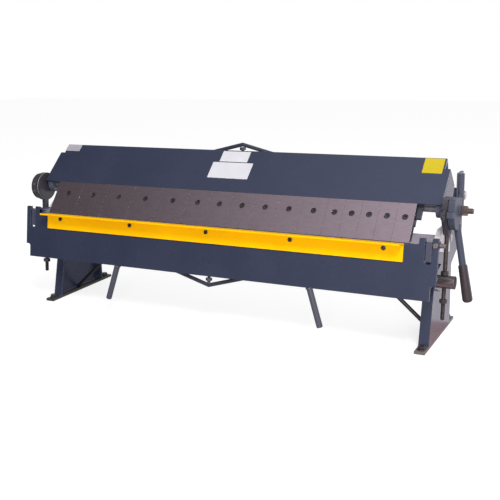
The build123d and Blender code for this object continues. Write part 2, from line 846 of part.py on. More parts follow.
def apron_sheet(side):
    """The apron's outlined sheet without its ears, or with a side only the ear on that side."""
    ear_width = ear_outer - ear_inner
    ear_height = ear_rise + ear_drop
    ear_middle = (ear_rise - ear_drop) / 2
    with BuildPart() as sheet:
        with BuildSketch(apron_frame.offset(apron_back)) as apron_face:
            with BuildLine():
                Polyline(*apron_half_outline, close=True)
            make_face()
            mirror(about=Plane.YZ)
            corners = apron_face.vertices()
            at_step = [v for v in corners if abs(v.Y + ear_drop) < 0.1]
            fillet([v for v in at_step if abs(abs(v.X) - apron_half) < 0.1], ear_fillet)
            ear_corners = [v for v in apron_face.vertices() if abs(v.Y - ear_rise) < 0.1]
            fillet(ear_corners, ear_corner)
            if side == 0:
                with Locations(*[(end * (ear_inner + ear_width / 2), ear_middle) for end in sides.values()]):
                    Rectangle(ear_width, ear_height, mode=Mode.SUBTRACT)
            else:
                with Locations((side * (ear_inner + ear_width / 2), ear_middle)):
                    Rectangle(ear_width, ear_height, mode=Mode.INTERSECT)
                with Locations((side * slot_x, slot_centre)):
                    Circle(slot_radius, mode=Mode.SUBTRACT)
                with Locations((side * slot_x, slot_centre + slot_depth)):
                    Rectangle(2 * slot_radius, 2 * slot_depth, mode=Mode.SUBTRACT)
        extrude(amount=apron_thickness)
    return sheet.part


for name, side in sides.items():
    with BuildPart() as apron_ear:
        add(apron_sheet(side))
        inner_start = start_x(side, ear_inner, slot_inner)
        outer_start = start_x(side, slot_outer, ear_outer)
        add(round_x(apron_front, inner_start, inner_prong, hinge_y, bed_height))
        add(round_x(apron_front, outer_start, outer_prong, hinge_y, bed_height))
        pin_seat = round_x(pin_radius + seat_fit, -2 * ear_outer, 4 * ear_outer, hinge_y, bed_height)
        add(pin_seat, mode=Mode.SUBTRACT)
    save(apron_ear.part, f"apron_ear_{name}")

with BuildPart() as apron_plate:
    add(apron_sheet(0))
    add(apron_lug(-apron_tie_anchor, apron_tie_anchor_drop))
    add(apron_lug(apron_tie_anchor, apron_tie_anchor_drop))
    add(apron_lug(0, apron_tie_lug_drop))
    lug_axis = (0, *apron_point(-apron_tie_back, -apron_tie_lug_drop))
    post_frame = Plane(
        origin=lug_axis,
        x_dir=(1, 0, 0),
        z_dir=(0, sin(radians(apron_lean)), cos(radians(apron_lean))),
    )
    with BuildSketch(post_frame.offset(-tie_lug_height)):
        Circle(tie_post_radius + tie_post_clearance)
    extrude(amount=2 * tie_lug_height, mode=Mode.SUBTRACT)
    for x in (-2, -1, 0, 1, 2):
        with BuildSketch(apron_frame.offset(apron_front)):
            with Locations((x * bar_screw_pitch, -bar_screw_drop)):
                Circle(bar_screw_radius + shank_clearance)
        extrude(amount=-bar_screw_length, mode=Mode.SUBTRACT)
save(apron_plate.part, "apron_plate")

with BuildPart() as hinge_pins:
    for name, side in sides.items():
        pin_end = ear_outer + pin_tails[name]
        add(round_x(pin_radius, start_x(side, ear_inner, pin_end), pin_end - ear_inner, hinge_y, bed_height))
save(hinge_pins.part, "hinge_pins")

# Angle bar on the apron's front with its screws
bar_front = apron_front + bar_thickness
bar_screw_places = [(step * bar_screw_pitch, -bar_screw_drop) for step in (-2, -1, 0, 1, 2)]
bar_outline = [
    apron_point(apron_front, -apron_top),
    apron_point(apron_front + bar_width, -apron_top),
    apron_point(apron_front + bar_width, -apron_top - bar_thickness),
    apron_point(bar_front, -apron_top - bar_thickness),
    apron_point(bar_front, -apron_top - bar_height),
    apron_point(apron_front, -apron_top - bar_height),
]
with BuildPart() as apron_bar:
    add(slab(bar_outline, -bar_half, 2 * bar_half))
    with BuildSketch(apron_frame.offset(apron_front)):
        with Locations(*bar_screw_places):
            Circle(bar_screw_radius + shank_clearance)
    extrude(amount=2 * bar_thickness, mode=Mode.SUBTRACT)
save(apron_bar.part, "apron_bar")

with BuildPart() as apron_bar_screws:
    with BuildSketch(apron_frame.offset(bar_front)):
        with Locations(*bar_screw_places):
            Circle(bar_screw_head_radius)
    extrude(amount=bar_screw_head)
    with BuildSketch(apron_frame.offset(bar_front + bar_screw_head)):
        with Locations(*bar_screw_places):
            RegularPolygon(bar_screw_socket / 2, 6, major_radius=False)
    extrude(amount=-bar_screw_socket_depth, mode=Mode.SUBTRACT)
    with BuildSketch(apron_frame.offset(bar_front)):
        with Locations(*bar_screw_places):
            Circle(bar_screw_radius)
    extrude(amount=-bar_screw_length)
save(apron_bar_screws.part, "apron_bar_screws")

# Apron tie rod, its post, and the two handles
apron_rod_end = apron_tie_anchor - tie_lug_width / 2
apron_tie_slope = (apron_tie_apex - apron_tie_anchor_drop) / apron_rod_end
apron_anchor_point = apron_point(-apron_tie_back, -apron_tie_anchor_drop)
apron_apex_point = apron_point(-apron_tie_back, -apron_tie_apex)
save(tie_rod(apron_rod_end, apron_anchor_point, apron_apex_point), "apron_truss_rod")

with BuildPart() as apron_truss_post:
    post_top = tie_lug_height / 2 + tie_post_tail
    post_low = apron_tie_lug_drop - apron_tie_apex + post_reach(apron_tie_slope, tie_post_radius)
    with BuildSketch(post_frame.offset(post_low)):
        Circle(tie_post_radius)
    extrude(amount=post_top - post_low)
    with BuildSketch(post_frame.offset(post_low + apron_post_neck)):
        RegularPolygon(tie_head_flat / 2, 6, major_radius=False)
    extrude(amount=tie_head_height)
save(apron_truss_post.part, "apron_truss_post")

for name, side in sides.items():
    with BuildPart() as apron_handle:
        spare = 2 * handle_radius / handle_fall
        top_y, top_z = apron_point(handle_depth + spare * handle_setback, spare * handle_fall - apron_depth)
        low_y, low_z = apron_point(handle_depth - handle_setback, -apron_depth - handle_fall)
        top = (side * (handle_spreads[name] - spare * handle_splays[name]), top_y, top_z)
        low = (side * (handle_spreads[name] + handle_splays[name]), low_y, low_z)
        add(bar_between(top, low, handle_radius))
        with BuildSketch(apron_frame.offset(-apron_depth)):
            with Locations((side * handle_spreads[name], 0)):
                Rectangle(2 * handle_fall, 2 * apron_depth)
        extrude(amount=2 * apron_depth, mode=Mode.SUBTRACT)
    save(apron_handle.part, f"apron_handle_{name}")

# Bed: a thick plate on a closed box
bed_box_outline = [
    apron_point(apron_back - rest_gap, (box_bottom - bed_height) / cos(radians(apron_lean))),
    apron_point(apron_back - rest_gap, (bed_plate_under - bed_height) / cos(radians(apron_lean))),
    (bed_plate_rear, bed_plate_under),
    (hinge_y + bed_box_back, box_bottom),
]
with BuildPart() as bed:
    add(slab(bed_box_outline, -leg_inner, 2 * leg_inner))
    with BuildSketch(Plane.YZ.offset(bed_box_wall - leg_inner)):
        with BuildLine():
            Polyline(*bed_box_outline, close=True)
        make_face()
        offset(amount=-bed_box_wall, kind=Kind.INTERSECTION)
    extrude(amount=2 * leg_inner - 2 * bed_box_wall, mode=Mode.SUBTRACT)
    with BuildSketch(Plane.XY.offset(bed_plate_under)):
        with Locations((0, (bed_plate_front + bed_plate_rear) / 2)):
            Rectangle(2 * leg_face, bed_plate_depth)
        nose_half = ear_inner - bed_corner_gap
        corner_x = (nose_half + leg_face) / 2
        with Locations((corner_x, bed_plate_front), (-corner_x, bed_plate_front)):
            Rectangle(leg_face - nose_half, 2 * bed_corner, mode=Mode.SUBTRACT)
    extrude(amount=bed_plate_thickness)
    for side in sides.values():
        bolt_z = bed_height - bed_plate_thickness / 2
        bore_start = start_x(side, leg_face - bed_bolt_depth, leg_face)
        bore_radius = arm_bolt_radius + arm_bolt_clearance
        bore = round_x(bore_radius, bore_start, bed_bolt_depth, hinge_y + bed_bolt_back, bolt_z)
        add(bore, mode=Mode.SUBTRACT)
save(bed.part, "bed")

# Side frames: web, leg flanges, foot, trunnion lug and rear upright, with the hinge arms and leg braces
web_front = bed_plate_rear + web_front_gap
rear_edge_top = bed_height + rear_edge_rise
upright_top = bed_height + upright_rise
upright_front = rear_edge_reach - upright_depth
arm_bolt_z = bed_height - arm_bolt_drop
arm_bolt_places = [hinge_y + arm_bolt_back, hinge_y + arm_bolt_back + arm_bolt_pitch]
web_outline = [
    (leg_front(leg_plate), leg_plate),
    (web_front, bed_plate_under),
    (web_front + web_front_slope, bed_height - web_front_drop),
    (rear_edge_reach, rear_edge_top),
    (rear_edge_reach, bed_height - rear_edge_drop),
    (rear_leg_reach, rear_leg_height),
    (rear_leg_reach, leg_plate),
]
front_flange_outline = [
    (leg_front(leg_plate), leg_plate),
    (leg_front(leg_plate) + leg_plate, leg_plate),
    (leg_front(bed_plate_under) + leg_plate, bed_plate_under),
    (leg_front(bed_plate_under), bed_plate_under),
]
rear_flange_outline = [
    (rear_leg_reach - leg_plate, leg_plate),
    (rear_leg_reach, leg_plate),
    (rear_leg_reach, rear_leg_height),
    (rear_leg_reach - leg_plate, rear_leg_height),
]
lug_outline = [
    (trunnion_y, trunnion_z + lug_radius),
    (trunnion_y + lug_root, trunnion_z + lug_root_rise),
    (trunnion_y + lug_root, trunnion_z - lug_root_drop),
    (trunnion_y, trunnion_z - lug_radius),
]
tab_outline = [
    (upright_front, rear_edge_top - upright_sink),
    (rear_edge_reach, rear_edge_top - upright_sink),
    (rear_edge_reach, upright_top),
    (upright_front, upright_top),
]
strip_outline = [
    (upright_front - leg_plate, rear_edge_top - upright_sink),
    (upright_front, rear_edge_top - upright_sink),
    (upright_front, upright_top),
    (upright_front - leg_plate, upright_top),
]
hinge_arm_outline = [
    apron_point(arm_nose, arm_nose_rise),
    (hinge_y + arm_neck_back, bed_height + arm_neck_rise),
    (hinge_y + arm_shoulder_back, bed_height + arm_shoulder_rise),
    (hinge_y + arm_top_back, bed_height + arm_top_rise),
    (hinge_y + arm_length, bed_height + arm_top_rise),
    (hinge_y + arm_length, bed_height - arm_heel_drop),
    (hinge_y + arm_belly_back, bed_height - arm_belly_drop),
    (hinge_y + arm_throat_back, bed_height - arm_throat_drop),
    apron_point(arm_nose, -arm_nose_drop),
]

for name, side in sides.items():
    web_start = start_x(side, leg_face - leg_plate, leg_face)
    flange_start = start_x(side, leg_inner, leg_face)
    lug_start = start_x(side, leg_face, leg_face + lug_width)
    through = start_x(side, leg_inner, arm_outer)
    with BuildPart() as side_frame:
        add(slab(web_outline, web_start, leg_plate))
        add(slab(front_flange_outline, flange_start, leg_width))
        add(slab(rear_flange_outline, flange_start, leg_width))
        with Locations((side * (leg_face - leg_width / 2), 0, leg_plate / 2)):
            Box(leg_width, 2 * foot_half, leg_plate)
        add(slab(lug_outline, lug_start, lug_width))
        add(round_x(lug_radius, lug_start, lug_width, trunnion_y, trunnion_z))
        add(slab(tab_outline, web_start, leg_plate))
        strip_start = start_x(side, leg_face - leg_plate, leg_face - leg_plate + upright_width)
        add(slab(strip_outline, strip_start, upright_width))
        journal_bore = journal_radius + running_fit
        add(round_x(journal_bore, lug_start, lug_width, trunnion_y, trunnion_z), mode=Mode.SUBTRACT)
        pivot_bore = pivot_bolt_radius + pivot_bolt_clearance
        add(round_x(pivot_bore, web_start, leg_plate, pivot_y, pivot_z), mode=Mode.SUBTRACT)
        for bolt_y in arm_bolt_places:
            bolt_bore = arm_bolt_radius + arm_bolt_clearance
            add(round_x(bolt_bore, web_start, leg_plate, bolt_y, arm_bolt_z), mode=Mode.SUBTRACT)
        with BuildSketch(Plane.XY):
            foot_x = side * (leg_face - foot_bolt_inset)
            with Locations((foot_x, foot_bolt_half), (foot_x, -foot_bolt_half)):
                Circle(foot_bolt_radius)
        extrude(amount=leg_plate, mode=Mode.SUBTRACT)
    save(side_frame.part, f"side_frame_{name}")

    arm_start = start_x(side, leg_face, arm_outer)
    with BuildPart() as hinge_arm:
        add(slab(hinge_arm_outline, arm_start, hinge_arm_width))
        pin_bore = pin_radius + running_fit
        add(round_x(pin_bore, arm_start, hinge_arm_width, hinge_y, bed_height), mode=Mode.SUBTRACT)
        bolt_holes = [(bolt_y, arm_bolt_z) for bolt_y in arm_bolt_places]
        bolt_holes.append((hinge_y + bed_bolt_back, bed_height - bed_plate_thickness / 2))
        for bolt_y, bolt_z in bolt_holes:
            bolt_bore = arm_bolt_radius + arm_bolt_clearance
            add(round_x(bolt_bore, arm_start, hinge_arm_width, bolt_y, bolt_z), mode=Mode.SUBTRACT)
    save(hinge_arm.part, f"hinge_arm_{name}")

brace_foot = leg_face - brace_inset
brace_run = (box_bottom - leg_plate) / tan(radians(brace_angle))
brace_spare = 2 * brace_radius / tan(radians(brace_angle))
with BuildPart() as leg_braces:
    low = (brace_foot + brace_spare, -brace_back, leg_plate - 2 * brace_radius)
    top = (brace_foot - brace_run - brace_spare, -brace_back, box_bottom + 2 * brace_radius)
    add(bar_between(low, top, brace_radius))
    with Locations((brace_foot, -brace_back, leg_plate / 2 - 2 * brace_radius)):
        Box(leg_width * 4, leg_width, leg_plate + 4 * brace_radius, mode=Mode.SUBTRACT)
    with Locations((brace_foot - brace_run, -brace_back, box_bottom + 2 * brace_radius)):
        Box(leg_width * 4, leg_width, 4 * brace_radius, mode=Mode.SUBTRACT)
    with Locations((leg_face - leg_plate + leg_width * 2, -brace_back, leg_plate)):
        Box(leg_width * 4, leg_width, leg_width * 4, mode=Mode.SUBTRACT)
    mirror(about=Plane.YZ)
save(leg_braces.part, "leg_braces")

# Bolts of the frame: hinge arms to the webs, hinge arms to the bed, beam pivots
with BuildPart() as frame_bolts:
    for side in sides.values():
        nut_inner = leg_face - leg_plate - arm_bolt_head
        for bolt_y in arm_bolt_places:
            head_start = start_x(side, arm_outer, arm_outer + arm_bolt_head)
            nut_start = start_x(side, nut_inner, nut_inner + arm_bolt_head)
            shank_start = start_x(side, nut_inner, arm_outer)
            add(hex_x(arm_bolt_flat, head_start, arm_bolt_head, bolt_y, arm_bolt_z))
            add(hex_x(arm_bolt_flat, nut_start, arm_bolt_head, bolt_y, arm_bolt_z))
            add(round_x(arm_bolt_radius, shank_start, arm_outer - nut_inner, bolt_y, arm_bolt_z))
        bed_bolt_y = hinge_y + bed_bolt_back
        bed_bolt_z = bed_height - bed_plate_thickness / 2
        bed_shank = hinge_arm_width + bed_bolt_depth - arm_bolt_radius / 2
        head_start = start_x(side, arm_outer, arm_outer + arm_bolt_head)
        shank_start = start_x(side, arm_outer - bed_shank, arm_outer)
        add(hex_x(arm_bolt_flat, head_start, arm_bolt_head, bed_bolt_y, bed_bolt_z))
        add(round_x(arm_bolt_radius, shank_start, bed_shank, bed_bolt_y, bed_bolt_z))
        washer_start = start_x(side, leg_face, leg_face + pivot_washer)
        pivot_head = leg_face + pivot_washer
        pivot_nut_outer = beam_arm_inner - pivot_nut_gap
        pivot_tip = pivot_nut_outer - pivot_nut
        head_start = start_x(side, pivot_head, pivot_head + pivot_bolt_head)
        nut_start = start_x(side, pivot_tip, pivot_nut_outer)
        shank_start = start_x(side, pivot_tip, pivot_head)
        add(round_x(pivot_washer_radius, washer_start, pivot_washer, pivot_y, pivot_z))
        add(hex_x(pivot_bolt_flat, head_start, pivot_bolt_head, pivot_y, pivot_z))
        add(hex_x(pivot_bolt_flat, nut_start, pivot_nut, pivot_y, pivot_z))
        add(round_x(pivot_bolt_radius, shank_start, pivot_head - pivot_tip, pivot_y, pivot_z))
save(frame_bolts.part, "frame_bolts")
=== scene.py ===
import json
import math

import bmesh
import bpy
from mathutils import Matrix, Vector


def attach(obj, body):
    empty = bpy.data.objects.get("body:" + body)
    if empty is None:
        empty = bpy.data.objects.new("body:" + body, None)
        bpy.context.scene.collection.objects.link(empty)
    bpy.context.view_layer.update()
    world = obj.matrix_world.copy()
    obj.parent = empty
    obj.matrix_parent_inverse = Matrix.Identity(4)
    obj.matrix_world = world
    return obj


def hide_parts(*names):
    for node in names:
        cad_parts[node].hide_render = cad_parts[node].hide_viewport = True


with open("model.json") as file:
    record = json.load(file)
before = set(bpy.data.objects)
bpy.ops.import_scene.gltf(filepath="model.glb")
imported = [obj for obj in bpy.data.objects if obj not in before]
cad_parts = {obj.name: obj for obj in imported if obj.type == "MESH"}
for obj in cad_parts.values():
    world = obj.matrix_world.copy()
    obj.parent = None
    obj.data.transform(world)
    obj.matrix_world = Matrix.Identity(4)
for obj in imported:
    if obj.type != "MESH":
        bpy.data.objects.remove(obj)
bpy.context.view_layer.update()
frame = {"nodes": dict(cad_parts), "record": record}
nodes = frame["nodes"]
scene = bpy.context.scene
MM = 0.001
CORNER = math.radians(30)  # edges sharper than this are rounded
CREASE = math.radians(32)  # edges sharper than this stay sharp in the shading

# Materials
FLAT_ON = 0.9  # how nearly a face has to look along an axis to count as facing it
materials = {}


class Tree:
    """Small helper for the node tree of a material or a world."""

    def __init__(self, owner):
        owner.use_nodes = True
        self.tree = owner.node_tree
        self.tree.nodes.clear()

    def feed(self, socket, value):
        """Give a socket a number, a colour or another socket's value."""
        if isinstance(value, (int, float)):
            socket.default_value = value
        elif isinstance(value, tuple):
            socket.default_value = (*value, 1)
        else:
            self.tree.links.new(value, socket)

    def new(self, kind, inputs=None, **settings):
        """New node with its settings, and its inputs by name or number."""
        node = self.tree.nodes.new(kind)
        for key, value in settings.items():
            setattr(node, key, value)
        for key, value in (inputs or {}).items():
            self.feed(node.inputs[key], value)
        return node

    def math(self, operation, a, b, **settings):
        node = self.new("ShaderNodeMath", {0: a, 1: b}, operation=operation, **settings)
        return node.outputs["Value"]

    def remap(self, value, low, high, to_low, to_high, **settings):
        """A value taken from one range to another, and held inside it."""
        inputs = {"Value": value, "From Min": low, "From Max": high}
        inputs.update({"To Min": to_low, "To Max": to_high})
        return self.new("ShaderNodeMapRange", inputs, **settings).outputs["Result"]

    def axis(self, vector, name):
        """One coordinate of a vector."""
        return self.new("ShaderNodeSeparateXYZ", {"Vector": vector}).outputs[name]


class Surface(Tree):
    """A material with one principled shader."""

    def __init__(self, name):
        self.material = materials[name] = bpy.data.materials.new(name)
        super().__init__(self.material)
        self.shader = self.new("ShaderNodeBsdfPrincipled")
        self.new("ShaderNodeOutputMaterial", {"Surface": self.shader.outputs["BSDF"]})

    def coords(self, scale=(1, 1, 1)):
        """Object coordinates, in metres in the shared frame, scaled."""
        spot = self.new("ShaderNodeTexCoord").outputs["Object"]
        mapping = self.new("ShaderNodeMapping", {"Vector": spot})
        mapping.inputs["Scale"].default_value = scale
        return mapping.outputs["Vector"]

    def noise(self, vector, scale, detail, rough=0.55):
        inputs = {"Vector": vector, "Scale": scale, "Detail": detail, "Roughness": rough}
        return self.new("ShaderNodeTexNoise", inputs).outputs["Fac"]

    def mix(self, factor, a, b):
        """Blend of two colours."""
        node = self.new("ShaderNodeMix", {"Factor": factor}, data_type="RGBA")
        colours = {s.name: s for s in node.inputs if s.type == "RGBA"}
        self.feed(colours["A"], a)
        self.feed(colours["B"], b)
        return next(s for s in node.outputs if s.type == "RGBA")

    def edges(self, radius):
        """Mask that is bright along outer edges, and the rounded normal it comes from."""
        soft = self.new("ShaderNodeBevel", {"Radius": radius}, samples=4).outputs["Normal"]
        flat = self.new("ShaderNodeNewGeometry").outputs["Normal"]
        dot = self.new("ShaderNodeVectorMath", {0: soft, 1: flat}, operation="DOT_PRODUCT")
        return self.remap(dot.outputs["Value"], 0.99, 0.75, 0.0, 1.0), soft

    def facing(self, axis):
        """How far the faces look along an axis, from -1 to 1."""
        return self.axis(self.new("ShaderNodeNewGeometry").outputs["True Normal"], axis)

    def facing_x(self):
        """Mask of the faces that look along X, either way."""
        return self.math("GREATER_THAN", self.math("ABSOLUTE", self.facing("X"), 0.0), FLAT_ON)

    def bump(self, height, strength, distance, normal):
        inputs = {"Height": height, "Strength": strength, "Distance": distance, "Normal": normal}
        return self.new("ShaderNodeBump", inputs).outputs["Normal"]

    def finish(self, inputs):
        """Give the shader its inputs by name."""
        for key, value in inputs.items():
            self.feed(self.shader.inputs[key], value)


def shaded(colour, factor):
    """A colour made darker or lighter."""
    return tuple(min(1.0, c * factor) for c in colour)


def paint(
    name, base, worn, rough, chips=0.45, specular=0.4, radius=0.0012, peel=0.03, areas=()
):
    """Machine paint with faint mottling, orange peel, specks and rubbed edges.

    Each of the areas is a colour with the mask of where it shows instead of the paint.
    """
    s = Surface(name)
    vector = s.coords()
    cloud = s.noise(vector, scale=9.0, detail=3.0)
    fine = s.noise(vector, scale=160.0, detail=5.0)
    mottled = s.remap(cloud, 0.3, 0.7, 0.0, 1.0)
    colour = s.mix(mottled, shaded(base, 0.94), shaded(base, 1.05))
    edge, normal = s.edges(radius)
    patchy = s.noise(vector, scale=55.0, detail=6.0, rough=0.65)
    patch = s.remap(patchy, 0.42, 0.62, 0.0, 1.0)
    mask = s.math("MULTIPLY", s.math("MULTIPLY", edge, patch), chips)
    colour = s.mix(mask, colour, worn)
    speck = s.remap(s.noise(vector, scale=420.0, detail=2.0), 0.70, 0.78, 0.0, 0.35)
    colour = s.mix(speck, colour, worn)
    roughness = s.remap(cloud, 0.25, 0.75, rough * 0.85, rough * 1.2)
    for shade, chosen in areas:
        lines = s.noise(s.coords((1.0, 0.2, 1.0)), scale=240.0, detail=4.0)
        drawn = s.remap(lines, 0.3, 0.7, 0.0, 1.0)
        stain = s.remap(s.noise(vector, scale=24.0, detail=5.0), 0.5, 0.8, 0.0, 0.5)
        area = s.mix(drawn, shaded(shade, 0.85), shade)
        area = s.mix(stain, area, shaded(shade, 0.65))
        shown = chosen(s)
        colour = s.mix(shown, colour, area)
        mask = s.math("MAXIMUM", mask, shown)
    roughness = s.math("ADD", roughness, s.math("MULTIPLY", mask, 0.2))
    normal = s.bump(fine, peel, 0.0006, normal)
    inputs = {"Base Color": colour, "Roughness": roughness, "Normal": normal}
    s.finish({**inputs, "Metallic": 0.0, "Specular IOR Level": specular})


def steel(
    name,
    base,
    light,
    rough,
    metallic,
    grain=(1.0, 1.0, 1.0),
    radius=0.0008,
    rub=0.4,
    shaded_sides=None,
    stain=0.5,
    spread=0.25,
):
    """Machined steel with fine drawn lines, cloudy tarnish and rubbed edges.

    Shaded sides is the colour of the faces that look along X, where it differs: painted shade.
    """
    s = Surface(name)
    lines = s.noise(s.coords(grain), scale=60.0, detail=5.0, rough=0.6)
    cloud = s.noise(s.coords(), scale=14.0, detail=4.0)
    colour = s.mix(s.remap(lines, 0.3, 0.7, 0.0, 1.0), base, light)
    colour = s.mix(s.remap(cloud, 0.5, 0.78, 0.0, stain), colour, shaded(base, 0.6))
    edge, normal = s.edges(radius)
    colour = s.mix(s.math("MULTIPLY", edge, rub), colour, shaded(light, 1.5))
    if shaded_sides:
        colour = s.mix(s.facing_x(), colour, shaded_sides)
    roughness = s.remap(lines, 0.25, 0.75, rough * (1.0 - spread), rough * (1.0 + spread))
    normal = s.bump(lines, 0.4 * spread, 0.0003, normal)
    inputs = {"Base Color": colour, "Roughness": roughness, "Normal": normal}
    s.finish({**inputs, "Metallic": metallic, "Specular IOR Level": 0.5})


# Places in metres where the paint of one piece changes
FOOT_TOP = 0.0085
UPRIGHT_LOW, UPRIGHT_FRONT = 0.33, 0.15
ARM_CORNER_Y, ARM_CORNER_Z, ARM_LINE, ARM_SHOULDER = -0.1146, 0.278, -0.016, 0.0345


def foot_mask(s):
    """The foot plate under the leg, below the welds."""
    return s.math("LESS_THAN", s.axis(s.coords(), "Z"), FOOT_TOP)


def bed_mask(s):
    """The top of the bed, where a lighter colour is painted light from above."""
    return s.math("GREATER_THAN", s.facing("Z"), FLAT_ON)


def upright_painted_light_mask(s):
    """The rear upright, which the photo shows lighter than the leg below it; its lighter colour is
    painted light.
    """
    spot = s.coords()
    high = s.math("GREATER_THAN", s.axis(spot, "Z"), UPRIGHT_LOW)
    rear = s.math("GREATER_THAN", s.axis(spot, "Y"), UPRIGHT_FRONT)
    return s.math("MULTIPLY", high, rear)


def arm_mask(s):
    """The side and the shoulder of a hinge arm, behind a slanting line, which get a near-white
    colour.
    """
    spot = s.coords()
    rise = s.math("SUBTRACT", s.axis(spot, "Z"), ARM_CORNER_Z)
    back = s.math("ADD", s.axis(spot, "Y"), -ARM_CORNER_Y)
    behind = s.math("GREATER_THAN", s.math("SUBTRACT", back, rise), ARM_LINE)
    upper = s.math("GREATER_THAN", rise, ARM_SHOULDER)
    return s.math("MULTIPLY", behind, s.math("MAXIMUM", s.facing_x(), upper))


blue = (0.0280, 0.0340, 0.0665)
blue_worn = (0.13, 0.13, 0.17)
grey_worn = (0.12, 0.12, 0.14)
machine = {"worn": blue_worn, "rough": 0.26, "chips": 0.30, "specular": 0.5}
label = {"rough": 0.38, "chips": 0.15, "specular": 0.3, "radius": 0.0004}
# Painted light: the bed's top faces are lighter, as if lit from above
bed_top_lit_colour = (0.33, 0.29, 0.37)
# Painted light: a lighter blue on the rear upright than on the leg
upright_painted_light_colour = (0.080, 0.084, 0.122)
arm_pale_colour = (0.84, 0.78, 0.83)
# Painted shade and light: the feet share one bare steel colour, made darker on the left foot and
# lighter on the right
foot_bare_and_shade_colours = {"left": (0.046, 0.039, 0.039), "right": (0.140, 0.123, 0.118)}
drawn_x = (0.4, 3.0, 3.0)

paint("blue_paint", blue, **machine)
paint("bed_paint", blue, areas=[(bed_top_lit_colour, bed_mask)], **machine)
for side, foot_bare_and_shade_colour in foot_bare_and_shade_colours.items():
    leg_areas = [(foot_bare_and_shade_colour, foot_mask), (upright_painted_light_colour, upright_painted_light_mask)]
    paint(f"leg_paint_shade_per_side_{side}", blue, areas=leg_areas, **machine)
arm_areas = [(arm_pale_colour, arm_mask)]
paint("arm_paint", (0.054, 0.056, 0.088), areas=arm_areas, **machine)
paint("lever_paint", (0.055, 0.061, 0.090), blue_worn, rough=0.48, chips=0.30, specular=0.2)
paint("yellow_paint", (1.0, 0.50, 0.0), (0.9, 0.50, 0.03), rough=0.46, chips=0.25, specular=0.06)
paint("black_paint", (0.012, 0.012, 0.016), (0.06, 0.06, 0.07), rough=0.35)
paint("strap_paint", (0.041, 0.038, 0.050), (0.12, 0.11, 0.12), rough=0.34)
paint("handle_paint", (0.066, 0.068, 0.094), grey_worn, rough=0.24, specular=0.6)
# Painted light: the bearing housings, in the beam's shadow, get a lighter blue than the machine
# paint
paint("bearing_painted_light", (0.088, 0.094, 0.130), blue_worn, rough=0.40, chips=0.30, specular=0.3)
paint("dark_paint", (0.034, 0.037, 0.056), grey_worn, rough=0.30)
steel(
    "finger_steel",
    (0.365, 0.287, 0.339),
    (0.405, 0.321, 0.378),
    rough=0.28,
    metallic=0.97,
    grain=(0.8, 3.0, 3.0),
    radius=0.0005,
    rub=0.0,
    # painted shade: the finger faces that look along X, at the ends and in the seams, are near
    # black
    shaded_sides=(0.02, 0.018, 0.02),
    stain=0.14,
    spread=0.06,
)
steel("bare_steel", (0.34, 0.31, 0.33), (0.46, 0.42, 0.44), 0.36, 0.8, grain=(3.0, 0.3, 3.0))
steel("bright_steel", (0.30, 0.28, 0.28), (0.40, 0.38, 0.38), 0.38, 0.6)
steel("pin_steel", (0.15, 0.12, 0.125), (0.22, 0.18, 0.185), 0.38, 0.6, drawn_x)
steel("shaft_steel", (0.15, 0.14, 0.16), (0.24, 0.23, 0.25), 0.34, 0.5, drawn_x)
steel("dark_steel", (0.030, 0.022, 0.024), (0.056, 0.043, 0.046), 0.38, 0.3, drawn_x)
steel("copper_steel", (0.105, 0.076, 0.072), (0.165, 0.124, 0.118), 0.36, 0.7, drawn_x)
steel("trunnion_steel", (0.125, 0.102, 0.110), (0.20, 0.165, 0.178), 0.22, 0.7, drawn_x)
steel("screw_steel", (0.045, 0.038, 0.042), (0.085, 0.074, 0.080), 0.34, 0.6)
# The black screw material also serves as painted shade inside the finger counterbores
steel("black_screws", (0.030, 0.029, 0.032), (0.07, 0.07, 0.075), 0.38, 0.6)
paint(
    "grip_rubber",
    (0.039, 0.029, 0.035),
    (0.06, 0.05, 0.05),
    rough=0.42,
    chips=0.2,
    radius=0.0008,
    peel=0.12,
)
paint("white_label", (0.60, 0.59, 0.63), (0.6, 0.6, 0.62), **label)
paint("yellow_label", (0.50, 0.38, 0.012), (0.6, 0.5, 0.3), **label)
steel(
    "silver_label",
    (0.47, 0.44, 0.51),
    (0.56, 0.53, 0.60),
    rough=0.34,
    metallic=0.3,
    grain=(0.3, 3.0, 3.0),
    radius=0.0004,
)

for item in frame["record"]["subparts"]:
    thing = nodes[item["node"]]
    thing.data.materials.clear()
    thing.data.materials.append(materials[item["material_slot"]])
own_materials = {
    "bed": "bed_paint",
    "eccentric_left": "strap_paint",
    "shaft_bearings": "bearing_painted_light",
    "strap_cap_right": "strap_paint",
    "strap_base_right": "strap_paint",
}
for side in ("left", "right"):
    own_materials[f"side_frame_{side}"] = f"leg_paint_shade_per_side_{side}"
    own_materials[f"hinge_arm_{side}"] = "arm_paint"
    own_materials[f"trunnion_{side}"] = "trunnion_steel"
for node, material in own_materials.items():
    nodes[node].data.materials[0] = materials[material]

# Sizes and places repeated from the part's source, in millimetres
HINGE = Vector((0, -171.0, 312.0))
APRON_LEAN = math.radians(9.4)
FINGER_LEAN = math.radians(38.0)
BEAM_LEAN = math.radians(47.9)
FINGER_SLANT = 117.7
FINGER_THICK = 18.0
FINGER_WIDTHS = [101.6] * 5 + [76.2] * 6 + [50.8] * 5
FINGER_SEAM = 0.4
SCREW_LEVEL = 75.0
SCREW_SEAT = 10.0
SHAFT = Vector((0, -60.0, 386.0))
THROW = 24.0
THROW_ANGLE = math.radians(-10.0)
TRUNNION = Vector((0, -102.0, 195.0))
LINK_X = 690.5
LEG_FACE = 658.0
ARM_OUTER = 674.0
BEAM_HALF = 675.0

# Shapes


def place(origin, x, y, z):
    """Matrix of a local frame."""
    turn = Matrix((Vector(x), Vector(y), Vector(z))).transposed().to_4x4()
    return Matrix.Translation(Vector(origin)) @ turn


def shift(matrix, x, y, z):
    """A frame moved along its own axes."""
    return matrix @ Matrix.Translation((x, y, z))


